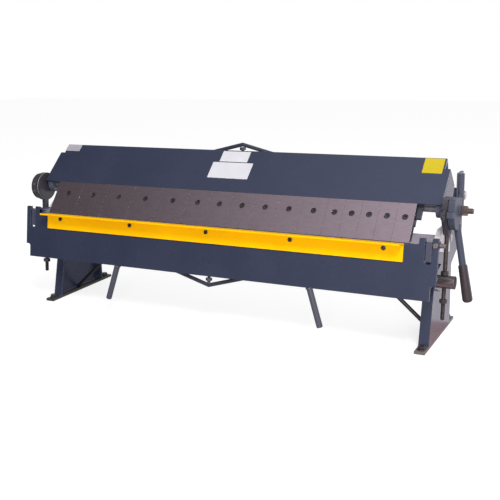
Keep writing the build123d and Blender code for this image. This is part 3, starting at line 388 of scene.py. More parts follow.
def leaning(origin, lean):
    """Frame of a leaning sheet: X along the bend, Y up the sheet, Z out of its front."""
    sine, cosine = math.sin(lean), math.cos(lean)
    return place(origin, (1, 0, 0), (0, sine, cosine), (0, -cosine, sine))


def x_axis(x, y, z):
    """Frame with Z along X through a point."""
    return place((x, y, z), (0, 1, 0), (0, 0, 1), (1, 0, 0))


def along(start, end):
    """Frame with Z from one point to another, and the distance."""
    axis = Vector(end) - Vector(start)
    turn = axis.to_track_quat("Z", "Y").to_matrix().to_4x4()
    return Matrix.Translation(Vector(start)) @ turn, axis.length


apron_frame = leaning(HINGE, APRON_LEAN)
finger_frame = leaning(HINGE + Vector((0, 1.5, 0.3)), FINGER_LEAN)
beam_frame = leaning(finger_frame @ Vector((0, FINGER_SLANT, 0)), BEAM_LEAN)


def even_turns(count):
    """Angles spread evenly round a circle."""
    return [2 * math.pi * i / count for i in range(count)]


def loop(bm, matrix, points):
    return [bm.verts.new(matrix @ Vector(p)) for p in points]


def ring(bm, matrix, radii, heights, count):
    """Loop about local Z; radii and heights are one number or a list of one for each point."""
    radii = radii if isinstance(radii, list) else [radii] * count
    heights = heights if isinstance(heights, list) else [heights] * count
    points = []
    for turn, radius, height in zip(even_turns(count), radii, heights):
        points.append((radius * math.cos(turn), radius * math.sin(turn), height))
    return loop(bm, matrix, points)


def bridge(bm, a, b):
    """Quads between two loops of one length."""
    for i in range(len(a)):
        bm.faces.new((a[i - 1], a[i], b[i], b[i - 1]))


def fan(bm, tip, rim):
    """Triangles from one point to a loop."""
    for i in range(len(rim)):
        bm.faces.new((tip, rim[i - 1], rim[i]))


def lathe(bm, matrix, profile, segments=40):
    """Surface of revolution about local Z from (radius, height) points.

    A point of no radius closes an end; the first point again at the end closes the whole.
    """
    closed = profile[0] == profile[-1]
    rings = []
    for radius, height in profile[:-1] if closed else profile:
        if radius:
            rings.append(ring(bm, matrix, radius, height, segments))
        else:
            rings.append(loop(bm, matrix, [(0, 0, height)]))
    if closed:
        rings.append(rings[0])
    for a, b in zip(rings, rings[1:]):
        if len(a) == 1:
            fan(bm, a[0], b)
        elif len(b) == 1:
            fan(bm, b[0], a)
        else:
            bridge(bm, a, b)


def rounded(radius, low, high, edge):
    """Profile of a solid cylinder with rounded ends."""
    turns = [math.radians(a) for a in (0, 30, 60, 90)]
    inner = radius - edge
    start = [(inner + edge * math.sin(t), low + edge - edge * math.cos(t)) for t in turns]
    end = [(inner + edge * math.cos(t), high - edge + edge * math.sin(t)) for t in turns]
    return [(0, low)] + start + end + [(0, high)]


HEX_COUNT = 36
HEX_TURN = math.radians(30)


def hexagon(flat):
    """Radii of a hexagon at even angles, from its size across flats."""
    radii = []
    for turn in even_turns(HEX_COUNT):
        angle = math.degrees(turn + HEX_TURN) % 60 - 30
        radii.append(flat / 2 / math.cos(math.radians(angle)))
    return radii


def stack(bm, matrix, levels, closed=False):
    """Rings of (radii, heights) joined in order, into a loop or with a face at both ends."""
    rings = [ring(bm, matrix, radii, heights, HEX_COUNT) for radii, heights in levels]
    for a, b in zip(rings, rings[1:]):
        bridge(bm, a, b)
    if closed:
        bridge(bm, rings[-1], rings[0])
    else:
        bm.faces.new(rings[0])
        bm.faces.new(rings[-1])


def hex_nut(bm, matrix, flat, height, bore=0.0):
    """Hexagon with chamfered corners at both ends, with a bore or closed."""
    lip = 0.8
    radii = hexagon(flat)
    face = flat * 0.475
    dips = [max(0.0, radius - face) * 0.5 for radius in radii]
    tops = [height - dip for dip in dips]
    levels = [(face, 0.0), (radii, dips), (radii, tops), (face, height)]
    if bore:
        levels = [(bore, lip), (bore + lip, 0.0)] + levels
        levels += [(bore + lip, height), (bore, height - lip)]
    stack(bm, matrix, levels, closed=bool(bore))


def socket_head(bm, matrix, head, socket, shank):
    """Cap screw that looks along local Z.

    Head is radius, height and edge; socket is size across flats and depth; shank is radius and
    length.
    """
    radius, height, edge = head
    flat, depth = socket
    shank_radius, shank_length = shank
    lead, lead_depth = 1.0, 0.5
    bend = 0.3 * edge
    wall = hexagon(flat)
    levels = [
        (shank_radius, -shank_length),
        (shank_radius, 0.0),
        (radius - edge, 0.0),
        (radius, edge),
        (radius, height - edge),
        (radius - bend, height - bend),
        (radius - edge, height),
        (hexagon(flat + lead), height),
        (wall, height - lead_depth),
        (wall, height - depth),
    ]
    stack(bm, matrix, levels)


def thread(bm, matrix, crest, root, pitch, start, end):
    """Closed screw thread: a helix of crests between two chamfered ends."""
    steps, chamfer, least = 20, 0.9, 0.05
    turns = int((end - start - 2 * chamfer) / pitch) - 1
    total = turns * steps
    bottom = start + chamfer
    lows, highs = [], []
    for i in range(total + steps + 1):
        turn = 2 * math.pi * i / steps
        height = bottom + pitch * i / steps
        out = Vector((math.cos(turn), math.sin(turn), 0))
        fade = min(1.0, i / steps, (total + steps - i) / steps)
        peak = root + (crest - root) * max(least, fade)
        lows.append(bm.verts.new(matrix @ (root * out + Vector((0, 0, height)))))
        if i <= total:
            top = Vector((0, 0, height + pitch / 2))
            highs.append(bm.verts.new(matrix @ (peak * out + top)))
    for i in range(total):
        bm.faces.new((lows[i], lows[i + 1], highs[i + 1], highs[i]))
        bm.faces.new((highs[i], highs[i + 1], lows[i + 1 + steps], lows[i + steps]))
    bm.faces.new((lows[0], lows[steps], highs[0]))
    bm.faces.new((lows[total], highs[total], lows[total + steps]))

    def circle(radius, height, skip=0):
        turns_kept = even_turns(steps)[skip:]
        points = [(radius * math.cos(t), radius * math.sin(t), height) for t in turns_kept]
        return loop(bm, matrix, points)

    def close(last, height):
        """Chamfer and face of one end."""
        rim = circle(root - chamfer, height)
        bridge(bm, last, rim)
        bm.faces.new(rim)

    low_ring = [lows[0]] + circle(root, bottom, 1)
    high_ring = [lows[-1]] + circle(root, bottom + pitch * (turns + 1), 1)
    for last, run in ((low_ring, lows[: steps + 1]), (high_ring, lows[total:])):
        for i in range(steps):
            corners = [last[i], last[(i + 1) % steps], run[i + 1], run[i]]
            bm.faces.new([v for k, v in enumerate(corners) if v not in corners[:k]])
    close(low_ring, start)
    band = circle(root, end - chamfer)
    bridge(bm, high_ring, band)
    close(band, end)


def prism(bm, matrix, outline, thickness, far=None):
    """Sheet from a local outline, straight-sided unless its far face has its own outline."""
    low = loop(bm, matrix, [(x, y, 0) for x, y in outline])
    high = loop(bm, matrix, [(x, y, thickness) for x, y in far or outline])
    bridge(bm, low, high)
    bm.faces.new(low)
    bm.faces.new(high)


def corner_edges(bm):
    """Edges where two faces meet at a corner, found with all faces turned outwards."""
    bmesh.ops.recalc_face_normals(bm, faces=bm.faces[:])
    bm.normal_update()
    return [e for e in bm.edges if e.calc_face_angle(0) > CORNER]


def soften(bm, edges, width, segments=2):
    """Round some edges."""
    bmesh.ops.bevel(
        bm,
        geom=edges,
        offset=width,
        offset_type="OFFSET",
        segments=segments,
        profile=0.5,
        affect="EDGES",
        clamp_overlap=True,
    )


def join(bm, other):
    """Put one mesh's faces into another."""
    mesh = bpy.data.meshes.new("join")
    other.to_mesh(mesh)
    other.free()
    bm.from_mesh(mesh)
    bpy.data.meshes.remove(mesh)


def sheet(bm, matrix, outline, thickness, width, segments=2):
    """Sheet with rounded edges, added to a mesh."""
    part = bmesh.new()
    prism(part, matrix, outline, thickness)
    soften(part, corner_edges(part), width, segments)
    join(bm, part)


def arc(x, y, radius, start, end, count=8):
    """Points of an arc, in degrees."""
    turns = [math.radians(start + (end - start) * i / count) for i in range(count + 1)]
    return [(x + radius * math.cos(t), y + radius * math.sin(t)) for t in turns]


def box_outline(x0, y0, x1, y1, corner=0.0):
    if not corner:
        return [(x0, y0), (x1, y0), (x1, y1), (x0, y1)]
    points = arc(x1 - corner, y0 + corner, corner, -90, 0, 5)
    points += arc(x1 - corner, y1 - corner, corner, 0, 90, 5)
    points += arc(x0 + corner, y1 - corner, corner, 90, 180, 5)
    return points + arc(x0 + corner, y0 + corner, corner, 180, 270, 5)


def mirrored(half):
    """Whole outline from its right half."""
    return half + [(-x, y) for x, y in reversed(half)]


def bead(bm, start, end, radius):
    """Weld bead: a run of overlapping ripples, half sunk into the corner it fills."""
    step, valley, unevenness = 3.2, 0.80, 0.08
    matrix, length = along(start, end)
    count = max(4, int(length / step))
    profile = [(0, 0)]
    for i in range(count):
        low = length * i / count
        high = length * (i + 1) / count
        crest = 1.0 + unevenness * math.sin(2.7 * i)
        profile.append((radius * valley, low + 0.12 * (high - low)))
        profile.append((radius * crest, low + 0.62 * (high - low)))
    profile.append((0, length))
    lathe(bm, matrix, profile, segments=12)


def weigh_normals(mesh):
    """Corner normals weighted by area, so that flat faces stay flat beside rounded edges."""
    around = [[] for _ in mesh.vertices]
    for face in mesh.polygons:
        for vertex in face.vertices:
            around[vertex].append((face.normal.copy(), face.area))
    normals = [None] * len(mesh.loops)
    for face in mesh.polygons:
        for corner in face.loop_indices:
            total = Vector((0, 0, 0))
            for normal, area in around[mesh.loops[corner].vertex_index]:
                if normal.dot(face.normal) > math.cos(CREASE):
                    total += area * normal
            normals[corner] = total.normalized()
    mesh.normals_split_custom_set(normals)


def piece(name, bm, material, body, replaced=(), second=None):
    """Finish a mesh as a piece that rides on a body; second is the material of faces marked 1."""
    bmesh.ops.recalc_face_normals(bm, faces=bm.faces[:])
    mesh = bpy.data.meshes.new(name)
    bm.to_mesh(mesh)
    bm.free()
    mesh.transform(Matrix.Scale(MM, 4))
    mesh.polygons.foreach_set("use_smooth", [True] * len(mesh.polygons))
    mesh.set_sharp_from_angle(angle=CREASE)
    weigh_normals(mesh)
    for chosen in (material, second):
        if chosen:
            mesh.materials.append(materials[chosen])
    thing = bpy.data.objects.new(name, mesh)
    scene.collection.objects.link(thing)
    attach(thing, body)
    if replaced:
        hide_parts(*replaced)


# Fingers with rounded edges and chamfered counterbores


def reach(step, low, centre, high):
    """Distance from a centre to the side that a direction points at, along one axis."""
    if abs(step) <= 1e-6:
        return 1e9
    return ((high if step > 0 else low) - centre) / step


def turn_between(a, b):
    """Size of the angle between two bearings."""
    return abs((a - b + math.pi) % (2 * math.pi) - math.pi)


def finger_mesh(start, width):
    """One clamping finger: wedge-soled slab, its front opened round the screw."""
    count, mouth, bore, lead, edge = 32, 8.8, 8.5, 0.3, 0.5
    bm = bmesh.new()
    x0 = start + FINGER_SEAM / 2
    x1 = start + width - FINGER_SEAM / 2
    middle = start + width / 2
    corners = [(x0, 0.0), (x1, 0.0), (x1, FINGER_SLANT), (x0, FINGER_SLANT)]
    turns = even_turns(count)
    rim = []
    for turn in turns:
        dx, dy = math.cos(turn), math.sin(turn)
        far = min(reach(dx, x0, middle, x1), reach(dy, 0.0, SCREW_LEVEL, FINGER_SLANT))
        rim.append((middle + far * dx, SCREW_LEVEL + far * dy))
    places = []
    for corner in corners:
        bearing = math.atan2(corner[1] - SCREW_LEVEL, corner[0] - middle) % (2 * math.pi)
        nearest = min(range(count), key=lambda i: turn_between(turns[i], bearing))
        rim[nearest] = corner
        places.append(nearest)
    front = loop(bm, finger_frame, [(x, y, 0) for x, y in rim])
    rings = [front]
    for radius, level in ((mouth, 0.0), (bore, -lead), (bore, -SCREW_SEAT)):
        points = []
        for turn in turns:
            x = middle + radius * math.cos(turn)
            points.append((x, SCREW_LEVEL + radius * math.sin(turn), level))
        rings.append(loop(bm, finger_frame, points))
    bridge(bm, rings[0], rings[1])
    before = set(bm.faces)
    for a, b in zip(rings[1:], rings[2:]):
        bridge(bm, a, b)
    bm.faces.new(rings[-1])
    # The counterbore's walls and floor take the second material: painted shade in the recess round
    # the screw
    for face in set(bm.faces) - before:
        face.material_index = 1
    sole = FINGER_THICK * math.tan(FINGER_LEAN)
    back_outline = [(x0, sole), (x1, sole), (x1, FINGER_SLANT), (x0, FINGER_SLANT)]
    back = loop(bm, finger_frame, [(x, y, -FINGER_THICK) for x, y in back_outline])
    bm.faces.new(back)
    for i in range(4):
        first, last = places[i], places[(i + 1) % 4]
        run = [front[(first + k) % count] for k in range((last - first) % count + 1)]
        bm.faces.new(run + [back[(i + 1) % 4], back[i]])
    outer = set(front) | set(back)
    long_edges = [e for e in corner_edges(bm) if set(e.verts) <= outer]
    long_edges = [e for e in long_edges if abs(e.verts[0].co.x - e.verts[1].co.x) > 1.0]
    soften(bm, long_edges, edge)
    return bm


finger_start = -sum(FINGER_WIDTHS) / 2
screw_centres = []
for index, width in enumerate(FINGER_WIDTHS):
    node = f"finger_{index + 1:02d}"
    bm = finger_mesh(finger_start, width)
    piece(f"dressed_{node}", bm, "finger_steel", "beam", (node,), "black_screws")
    screw_centres.append(finger_start + width / 2)
    finger_start += width

bm = bmesh.new()
for x in screw_centres:
    seat = shift(finger_frame, x, SCREW_LEVEL, -SCREW_SEAT)
    socket_head(bm, seat, head=(8.0, 8.0, 0.9), socket=(8.0, 5.0), shank=(5.0, 18.0))
piece("finger_cap_screws", bm, "screw_steel", "beam", ("finger_screws",))

# Beam front plate, labels and tie posts
plate_low, plate_slant, plate_thick = 0.3, 161.6, 10.0
notch_level = 125.0
notch_half = BEAM_HALF - 16.0
half_outline = [(BEAM_HALF, plate_low), (BEAM_HALF, notch_level)]
half_outline += [(notch_half, notch_level), (notch_half, plate_slant)]
outline = mirrored(half_outline)
rear_low = plate_low + plate_thick * math.tan(BEAM_LEAN - FINGER_LEAN)
rear_outline = [(x, rear_low if y == plate_low else y) for x, y in outline]
bm = bmesh.new()
prism(bm, beam_frame, outline, -plate_thick, rear_outline)
soften(bm, corner_edges(bm), 1.4, 3)
piece("beam_front_sheet", bm, "blue_paint", "beam", ("beam_front_plate",))

label_gap, label_thick, label_edge = 0.02, 0.7, 0.2
labels = [
    ("label_silver", "silver_label", "bare_steel", (-659, 132, -600, 160), 2.0),
    ("label_white_upper", "white_label", "bare_steel", (-44, 115, 52, 157), 1.0),
    ("label_white_lower", "white_label", "bare_steel", (-64, 50, 75, 112), 1.0),
    ("label_yellow", "yellow_label", "yellow_paint", (598, 106, 654, 159), 2.0),
]
for name, material, slot, extent, corner in labels:
    bm = bmesh.new()
    outline = box_outline(*extent, corner)
    sheet(bm, shift(beam_frame, 0, 0, label_gap), outline, label_thick, label_edge, 1)
    piece(name, bm, material, "beam")

beam_tie_y, beam_post_low, beam_post_top = 63.963, 457.049, 518.388
apron_tie_z, apron_post_low, apron_post_top = -14.5, -171.33, -110.0
tie_head_flat, tie_head_height, tie_radius, tie_root = 17.0, 9.0, 5.0, 4.3


def tie_post(name, tip, tail, neck):
    """Threaded post of a tie rod: its hexagon head stands off the rod by a neck."""
    bm = bmesh.new()
    matrix, length = along(tip, tail)
    hex_nut(bm, shift(matrix, 0, 0, neck), tie_head_flat, tie_head_height)
    if neck:
        lathe(bm, matrix, rounded(tie_radius, 0.0, neck + 1.0, edge=0.6), segments=28)
    start = neck + tie_head_height - 1.0
    thread(bm, matrix, tie_radius, tie_root, pitch=1.5, start=start, end=length)
    body = name.split("_")[0]
    piece(f"{name}_screw", bm, "dark_paint", body, (name,))


beam_tip = (0, beam_tie_y, beam_post_top)
tie_post("beam_truss_post", beam_tip, (0, beam_tie_y, beam_post_low), 0.0)
apron_tip = apron_frame @ Vector((0, apron_post_low, apron_tie_z))
tie_post("apron_truss_post", apron_tip, apron_frame @ Vector((0, apron_post_top, apron_tie_z)), 6.0)

# Apron: one sheet with slotted ears, pin bosses and tie rod lugs
apron_half, apron_low, apron_top = 676.0, -149.0, -0.5
apron_back, apron_thick, apron_edge = 1.0, 10.0, 1.0
apron_front = apron_back + apron_thick
ear_inner, ear_outer, ear_top, ear_corner = 640.0, 692.0, 18.0, 4.0
ear_step, step_radius = -107.0, 9.0
slot_inner, slot_outer, slot_low = 656.5, 675.5, -42.0
boss_radius, pin_radius, pin_tails = 11.0, 6.0, {-1: 1.0, 1: 14.0}
slot_radius = (slot_outer - slot_inner) / 2
corner_level = ear_top - ear_corner
half_outline = [(apron_half, apron_low)]
half_outline += arc(apron_half + step_radius, ear_step - step_radius, step_radius, 180, 90)
half_outline += [(ear_outer, ear_step)]
half_outline += arc(ear_outer - ear_corner, corner_level, ear_corner, 0, 90, 5)
half_outline += [(slot_outer, ear_top)]
half_outline += arc(slot_inner + slot_radius, slot_low, slot_radius, 0, -180, 16)
half_outline += [(slot_inner, ear_top)]
half_outline += arc(ear_inner + ear_corner, corner_level, ear_corner, 90, 180, 5)
half_outline += [(ear_inner, apron_top)]
bm = bmesh.new()
sheet(bm, shift(apron_frame, 0, 0, apron_back), mirrored(half_outline), apron_thick, apron_edge)
lug_wide, lug_high, lug_back, lug_thick = 8, 12, -22.5, 24.5
for x, drop in ((-270, 106), (270, 106), (0, 130)):
    lug = box_outline(x - lug_wide, -drop - lug_high, x + lug_wide, -drop + lug_high, 3.0)
    sheet(bm, shift(apron_frame, 0, 0, lug_back), lug, lug_thick, apron_edge)
for side in (-1, 1):
    for near, far in ((ear_inner, slot_inner), (slot_outer, ear_outer)):
        start = near if side > 0 else -far
        boss = rounded(boss_radius, 0.0, far - near, edge=0.8)
        lathe(bm, x_axis(start, HINGE.y, HINGE.z), boss)
apron_nodes = ("apron_plate", "apron_ear_left", "apron_ear_right")
piece("apron_sheet", bm, "blue_paint", "apron", apron_nodes)

bm = bmesh.new()
for side, tail in pin_tails.items():
    start = ear_inner if side > 0 else -ear_outer - tail
    pin = rounded(pin_radius, 0.0, ear_outer + tail - ear_inner, edge=0.9)
    lathe(bm, x_axis(start, HINGE.y, HINGE.z), pin)
piece("hinge_pin_pair", bm, "pin_steel", "apron", ("hinge_pins",))

lock_x = 683.7
bm = bmesh.new()
seat = shift(apron_frame, lock_x, 0, apron_front)
socket_head(bm, seat, head=(6.8, 3.4, 0.8), socket=(5.0, 2.2), shank=(4.0, 6.0))
piece("hinge_lock_screw", bm, "pin_steel", "apron")

# Angle bar with a rounded inside corner, and its button screws
bar_half, bar_thick, bar_top, bar_low, bar_front = 599.6, 5.0, -0.5, -50.5, 55.0
bar_screw_pitch, bar_screw_level = 273.0, -17.0
bar_face = apron_front + bar_thick
bar_frame = place(
    (-bar_half, HINGE.y, HINGE.z),
    (0, -math.cos(APRON_LEAN), math.sin(APRON_LEAN)),
    (0, math.sin(APRON_LEAN), math.cos(APRON_LEAN)),
    (1, 0, 0),
)
outline = [(apron_front, bar_top), (bar_front, bar_top), (bar_front, bar_top - bar_thick)]
outline += arc(bar_face + bar_thick, bar_top - 2 * bar_thick, bar_thick, 90, 180, 6)
outline += [(bar_face, bar_low), (apron_front, bar_low)]
bm = bmesh.new()
sheet(bm, bar_frame, outline, 2 * bar_half, 0.9)
piece("apron_angle", bm, "yellow_paint", "apron", ("apron_bar",))

bm = bmesh.new()
for step in (-2, -1, 0, 1, 2):
    seat = shift(apron_frame, step * bar_screw_pitch, bar_screw_level, bar_face)
    socket_head(bm, seat, head=(6.5, 4.0, 1.5), socket=(5.0, 2.5), shank=(4.0, 12.0))
piece("apron_button_screws", bm, "black_screws", "apron", ("apron_bar_screws",))

# Apron handles, welded on
handle_collar = [(8.5, 0.0), (11.0, 1.0), (11.3, 2.6), (10.4, 4.6), (8.8, 6.0), (8.5, 0.0)]
handle_radius, handle_spread = 9.0, 366.0
for name, side, spread in (("left", -1, 322.0), ("right", 1, 334.3)):
    bm = bmesh.new()
    root = apron_frame @ Vector((side * spread, -146.5, 5.4))
    tip = apron_frame @ Vector((side * handle_spread, -261.0, -13.5))
    matrix, length = along(root, tip)
    lathe(bm, matrix, rounded(handle_radius, 0.0, length, edge=2.5))
    lathe(bm, matrix, handle_collar, segments=28)
    node = f"apron_handle_{name}"
    piece(f"apron_bar_handle_{name}", bm, "handle_paint", "apron", (node,))

# Clamp shaft, its threaded stub and nut
boss_outer, shaft_left, shaft_radius = 721.0, 715.0, 10.0
bm = bmesh.new()
profile = rounded(shaft_radius, 0.0, shaft_left + boss_outer, edge=1.2)
lathe(bm, x_axis(-shaft_left, SHAFT.y, SHAFT.z), profile)
piece("turned_shaft", bm, "shaft_steel", "shaft", ("clamp_shaft",))

stub_frame = x_axis(boss_outer, SHAFT.y, SHAFT.z)
bm = bmesh.new()
thread(bm, stub_frame, crest=8.0, root=7.1, pitch=2.0, start=-2.0, end=32.0)
piece("shaft_stub_thread", bm, "copper_steel", "shaft")

bm = bmesh.new()
hex_nut(bm, stub_frame, flat=24.0, height=17.0, bore=8.05)
piece("shaft_hex_nut", bm, "copper_steel", "shaft", ("shaft_nut",))

# Lever with its hub over the right eccentric, and its grip
hub_inner, hub_thick, hub_radius, hub_block, hub_corner = 699.6, 18.0, 44.5, 41.0, 12.0
hub_flange, hub_flange_half = 59.5, 8.0
lever_splay = math.radians(9.8)
lever_out = Vector((math.sin(lever_splay), 0, -math.cos(lever_splay)))
lever_top = Vector((hub_inner + 9.4, SHAFT.y, SHAFT.z - 36.0))
lever_radius, lever_length, grip_length, grip_end = 9.5, 220.0, 103.0, 3.0
centre = SHAFT + THROW * Vector((0, -math.cos(THROW_ANGLE), math.sin(THROW_ANGLE)))
link_up = (centre - TRUNNION).normalized()


def link_plane(x):
    """Frame across X on the eccentric's centre, with Y up the link rod."""
    return place((x, centre.y, centre.z), (0, link_up.z, -link_up.y), link_up, (1, 0, 0))


flange_angle = math.degrees(math.asin(hub_flange_half / hub_radius))
corner_x, corner_y = hub_radius - hub_corner, hub_block - hub_corner
outline = arc(0, 0, hub_radius, 180.0 + flange_angle, 360.0, 40)
outline += arc(corner_x, corner_y, hub_corner, 0, 90)
outline += arc(-corner_x, corner_y, hub_corner, 90, 180)
outline += [(-hub_radius, hub_flange_half), (-hub_flange, hub_flange_half)]
outline += [(-hub_flange, -hub_flange_half)]
bm = bmesh.new()
sheet(bm, link_plane(hub_inner), outline, hub_thick, 1.2, 3)
hub_boss = [(0, 17.6), (17.6, 17.6), (16.4, 18.3), (16, 19.4), (16, 20.6), (15.2, 21.4), (0, 21.4)]
lathe(bm, x_axis(hub_inner, SHAFT.y, SHAFT.z), hub_boss, segments=48)
lever_frame, length = along(lever_top, lever_top + lever_length * lever_out)
lathe(bm, lever_frame, rounded(lever_radius, 0.0, length, edge=1.0))
lever_collar = [(9.0, 4.0), (11.2, 5.0), (11.6, 7.0), (10.6, 9.0), (9.3, 10.5), (9.0, 4.0)]
lathe(bm, lever_frame, lever_collar, segments=28)
piece("clamp_hand_lever", bm, "lever_paint", "shaft", ("clamp_lever",))

grip_low = lever_length - grip_length
grip_tip = lever_length + grip_end
grip_radius, grip_bend = 14.0, 9.0
bend_low = grip_tip - 10.0
profile = [(0, grip_low), (11.4, grip_low)]
for radius, rise in ((12.1, 0.5), (12.4, 1.6), (12.6, 20.0), (13.3, 50.0), (13.8, 78.0)):
    profile.append((radius, grip_low + rise))
profile.append((grip_radius, bend_low))
for turn in (math.radians(15 * step) for step in range(1, 6)):
    radius = grip_radius - grip_bend + grip_bend * math.cos(turn)
    profile.append((radius, bend_low + grip_bend * math.sin(turn)))
profile += [(grip_radius - grip_bend, bend_low + grip_bend), (0, grip_tip)]
bm = bmesh.new()
lathe(bm, lever_frame, profile, segments=48)
piece("lever_hand_grip", bm, "grip_rubber", "shaft", ("lever_grip",))

# Left strap: two flanged half rings, the lower one on a straight neck
strap_inner, strap_outer, strap_thick, strap_edge = 38.05, 47.0, 15.0, 0.8
strap_split, flange_height, flange_tip, flange_thick = 0.3, 8.2, 59.55, 13.0
flange_root = strap_outer - 3.0
neck_half, neck_low = 8.0, 78.0
neck_angle = math.degrees(math.asin(neck_half / strap_outer))
split_angle = math.degrees(strap_split / strap_inner)
strap_plane = link_plane(-LINK_X)
cap_outline = arc(0, 0, strap_outer, split_angle, 180 - split_angle, 40)
cap_outline += arc(0, 0, strap_inner, 180 - split_angle, split_angle, 40)
base_outline = arc(0, 0, strap_outer, 180 + split_angle, 270 - neck_angle, 20)
base_outline += [(-neck_half, -neck_low), (neck_half, -neck_low)]
base_outline += arc(0, 0, strap_outer, 270 + neck_angle, 360 - split_angle, 20)
base_outline += arc(0, 0, strap_inner, 360 - split_angle, 180 + split_angle, 40)
for name, way, outline in (("cap", 1, cap_outline), ("base", -1, base_outline)):
    bm = bmesh.new()
    sheet(bm, shift(strap_plane, 0, 0, -strap_thick / 2), outline, strap_thick, strap_edge)
    low, high = sorted((way * strap_split, way * flange_height))
    for near, far in ((-flange_tip, -flange_root), (flange_root, flange_tip)):
        flange = box_outline(near, low, far, high)
        sheet(bm, shift(strap_plane, 0, 0, -flange_thick / 2), flange, flange_thick, strap_edge)
    node = f"strap_{name}_left"
    piece(f"strap_ring_{name}", bm, "strap_paint", "link_left", (node,))

# Painted highlight: a bright edge round part of the left strap, on the side towards the beam
highlight_x, highlight_start, highlight_end = -683.0, 80, 205
highlight_profile = [(45.4, -0.4), (45.4, 0.15), (46.0, 0.25), (46.8, -0.1), (47.05, -0.9)]
highlight_profile += [(46.65, -1.2), (45.4, -0.4)]
bm = bmesh.new()
lathe(bm, x_axis(highlight_x, centre.y, centre.z), highlight_profile, segments=72)
# The ring is cut down to the arc where the painted highlight shows
outside_highlight = []
for vertex in bm.verts:
    bearing = math.degrees(math.atan2(vertex.co.z - centre.z, vertex.co.y - centre.y)) % 360
    if not highlight_start < bearing < highlight_end:
        outside_highlight.append(vertex)
bmesh.ops.delete(bm, geom=outside_highlight, context="VERTS")
bmesh.ops.remove_doubles(bm, verts=bm.verts[:], dist=0.001)
bmesh.ops.holes_fill(bm, edges=[e for e in bm.edges if e.is_boundary])
piece("strap_edge_highlight", bm, "bright_steel", "link_left")

# Link rods with threaded tails, nuts and strap bolts
rod_radius, rod_root, rod_top, rod_low, rod_tail = 6.0, 5.2, 48.6, 152.0, 106.0
nut_above, nut_below = 29.5, {"left": 63.0, "right": 48.0}
strap_bolt_reach, strap_bolt_levels = 52.05, (8.2, -13.7)
strap_bolt_shank = rounded(4.0, -17.7, 9.0, edge=0.8)
span = (centre - TRUNNION).length
for name, side in (("left", -1), ("right", 1)):
    origin = Vector((side * LINK_X, centre.y, centre.z))
    rod_frame = along(origin, origin - link_up)[0]
    bm = bmesh.new()
    lathe(bm, rod_frame, rounded(rod_radius, rod_top, rod_low, edge=0.6))
    tail = {"start": rod_low - 2.0, "end": span + rod_tail}
    thread(bm, rod_frame, rod_radius, rod_root, pitch=1.75, **tail)
    body = f"link_{name}"
    piece(f"link_stud_{name}", bm, "dark_steel", body, (f"link_rod_{name}",))
    bm = bmesh.new()
    for level in (span - nut_above, span + nut_below[name]):
        hex_nut(bm, shift(rod_frame, 0, 0, level), flat=20.0, height=11.0, bore=6.05)
    up_frame = place(origin, (1, 0, 0), link_up.cross(Vector((1, 0, 0))), link_up)
    for end in (-1, 1):
        bolt_y = end * strap_bolt_reach
        for level in strap_bolt_levels:
            hex_nut(bm, shift(up_frame, 0, bolt_y, level), flat=13.0, height=5.5)
        lathe(bm, shift(up_frame, 0, bolt_y, 0), strap_bolt_shank, segments=24)
    node = f"link_fasteners_{name}"
    piece(f"link_hardware_{name}", bm, "dark_steel", body, (node,))

# Frame bolts and the bolts that hold the feet down
arm_bolt = {"start": ARM_OUTER, "flat": 19.0, "head": 8.0, "shank": 6.0}
pivot_bolt = {"start": LEG_FACE + 3.0, "flat": 24.0, "head": 10.0, "shank": 8.0}
arm_bolt_ys, arm_bolt_z, arm_nut_x = (-30.0, 5.0), 292.0, 642.0
bed_bolt_y, bed_bolt_z, bed_bolt_end = -120.0, 302.0, 635.0
pivot_y, pivot_z, pivot_nut_x, pivot_nut = 216.0, 376.0, 624.6, 12.0
washer_profile = [(8, -3), (16.4, -3), (17, -2.4), (17, -0.6), (16.4, 0), (8, 0), (8, -3)]


def bolt(bm, side, y, z, start, flat, head, shank, shank_end):
    """Hexagon bolt whose head stands out from a station on X."""
    out = place((side * start, y, z), (0, side, 0), (0, 0, 1), (side, 0, 0))
    face = flat * 0.36
    hex_nut(bm, out, flat, head)
    lathe(bm, out, rounded(shank, -(start - shank_end), 0.5, edge=0.8), segments=28)
    disc = [(0, head - 0.2), (face, head - 0.2), (face, head + 0.01), (0, head + 0.01)]
    lathe(bm, out, disc, segments=36)
    return out


bm = bmesh.new()
for side in (-1, 1):
    for y in arm_bolt_ys:
        bolt(bm, side, y, arm_bolt_z, shank_end=arm_nut_x, **arm_bolt)
        nut_x = arm_nut_x if side > 0 else -arm_nut_x - arm_bolt["head"]
        hex_nut(bm, x_axis(nut_x, y, arm_bolt_z), arm_bolt["flat"], arm_bolt["head"])
    bolt(bm, side, bed_bolt_y, bed_bolt_z, shank_end=bed_bolt_end, **arm_bolt)
    pivot = bolt(bm, side, pivot_y, pivot_z, shank_end=pivot_nut_x, **pivot_bolt)
    lathe(bm, pivot, washer_profile)
    nut_x = pivot_nut_x if side > 0 else -pivot_nut_x - pivot_nut
    hex_nut(bm, x_axis(nut_x, pivot_y, pivot_z), pivot_bolt["flat"], pivot_nut)
piece("frame_hex_bolts", bm, "bare_steel", "frame", ("frame_bolts",))

foot_x, foot_y, foot_top, foot_washer = 643.0, 145.0, 8.0, 2.4
washer_profile = [(6, 0), (11.6, 0), (12, 0.5), (12, 1.9), (11.6, 2.4), (6, 2.4), (6, 0)]
bm = bmesh.new()
for x in (-foot_x, foot_x):
    for y in (-foot_y, foot_y):
        up = Matrix.Translation((x, y, foot_top))
        lathe(bm, up, washer_profile, segments=36)
        hex_nut(bm, shift(up, 0, 0, foot_washer), flat=18.0, height=8.0)
        lathe(bm, up, rounded(5.8, -7.9, 2.8, edge=0.6), segments=28)
piece("hold_down_bolts", bm, "dark_steel", "frame")

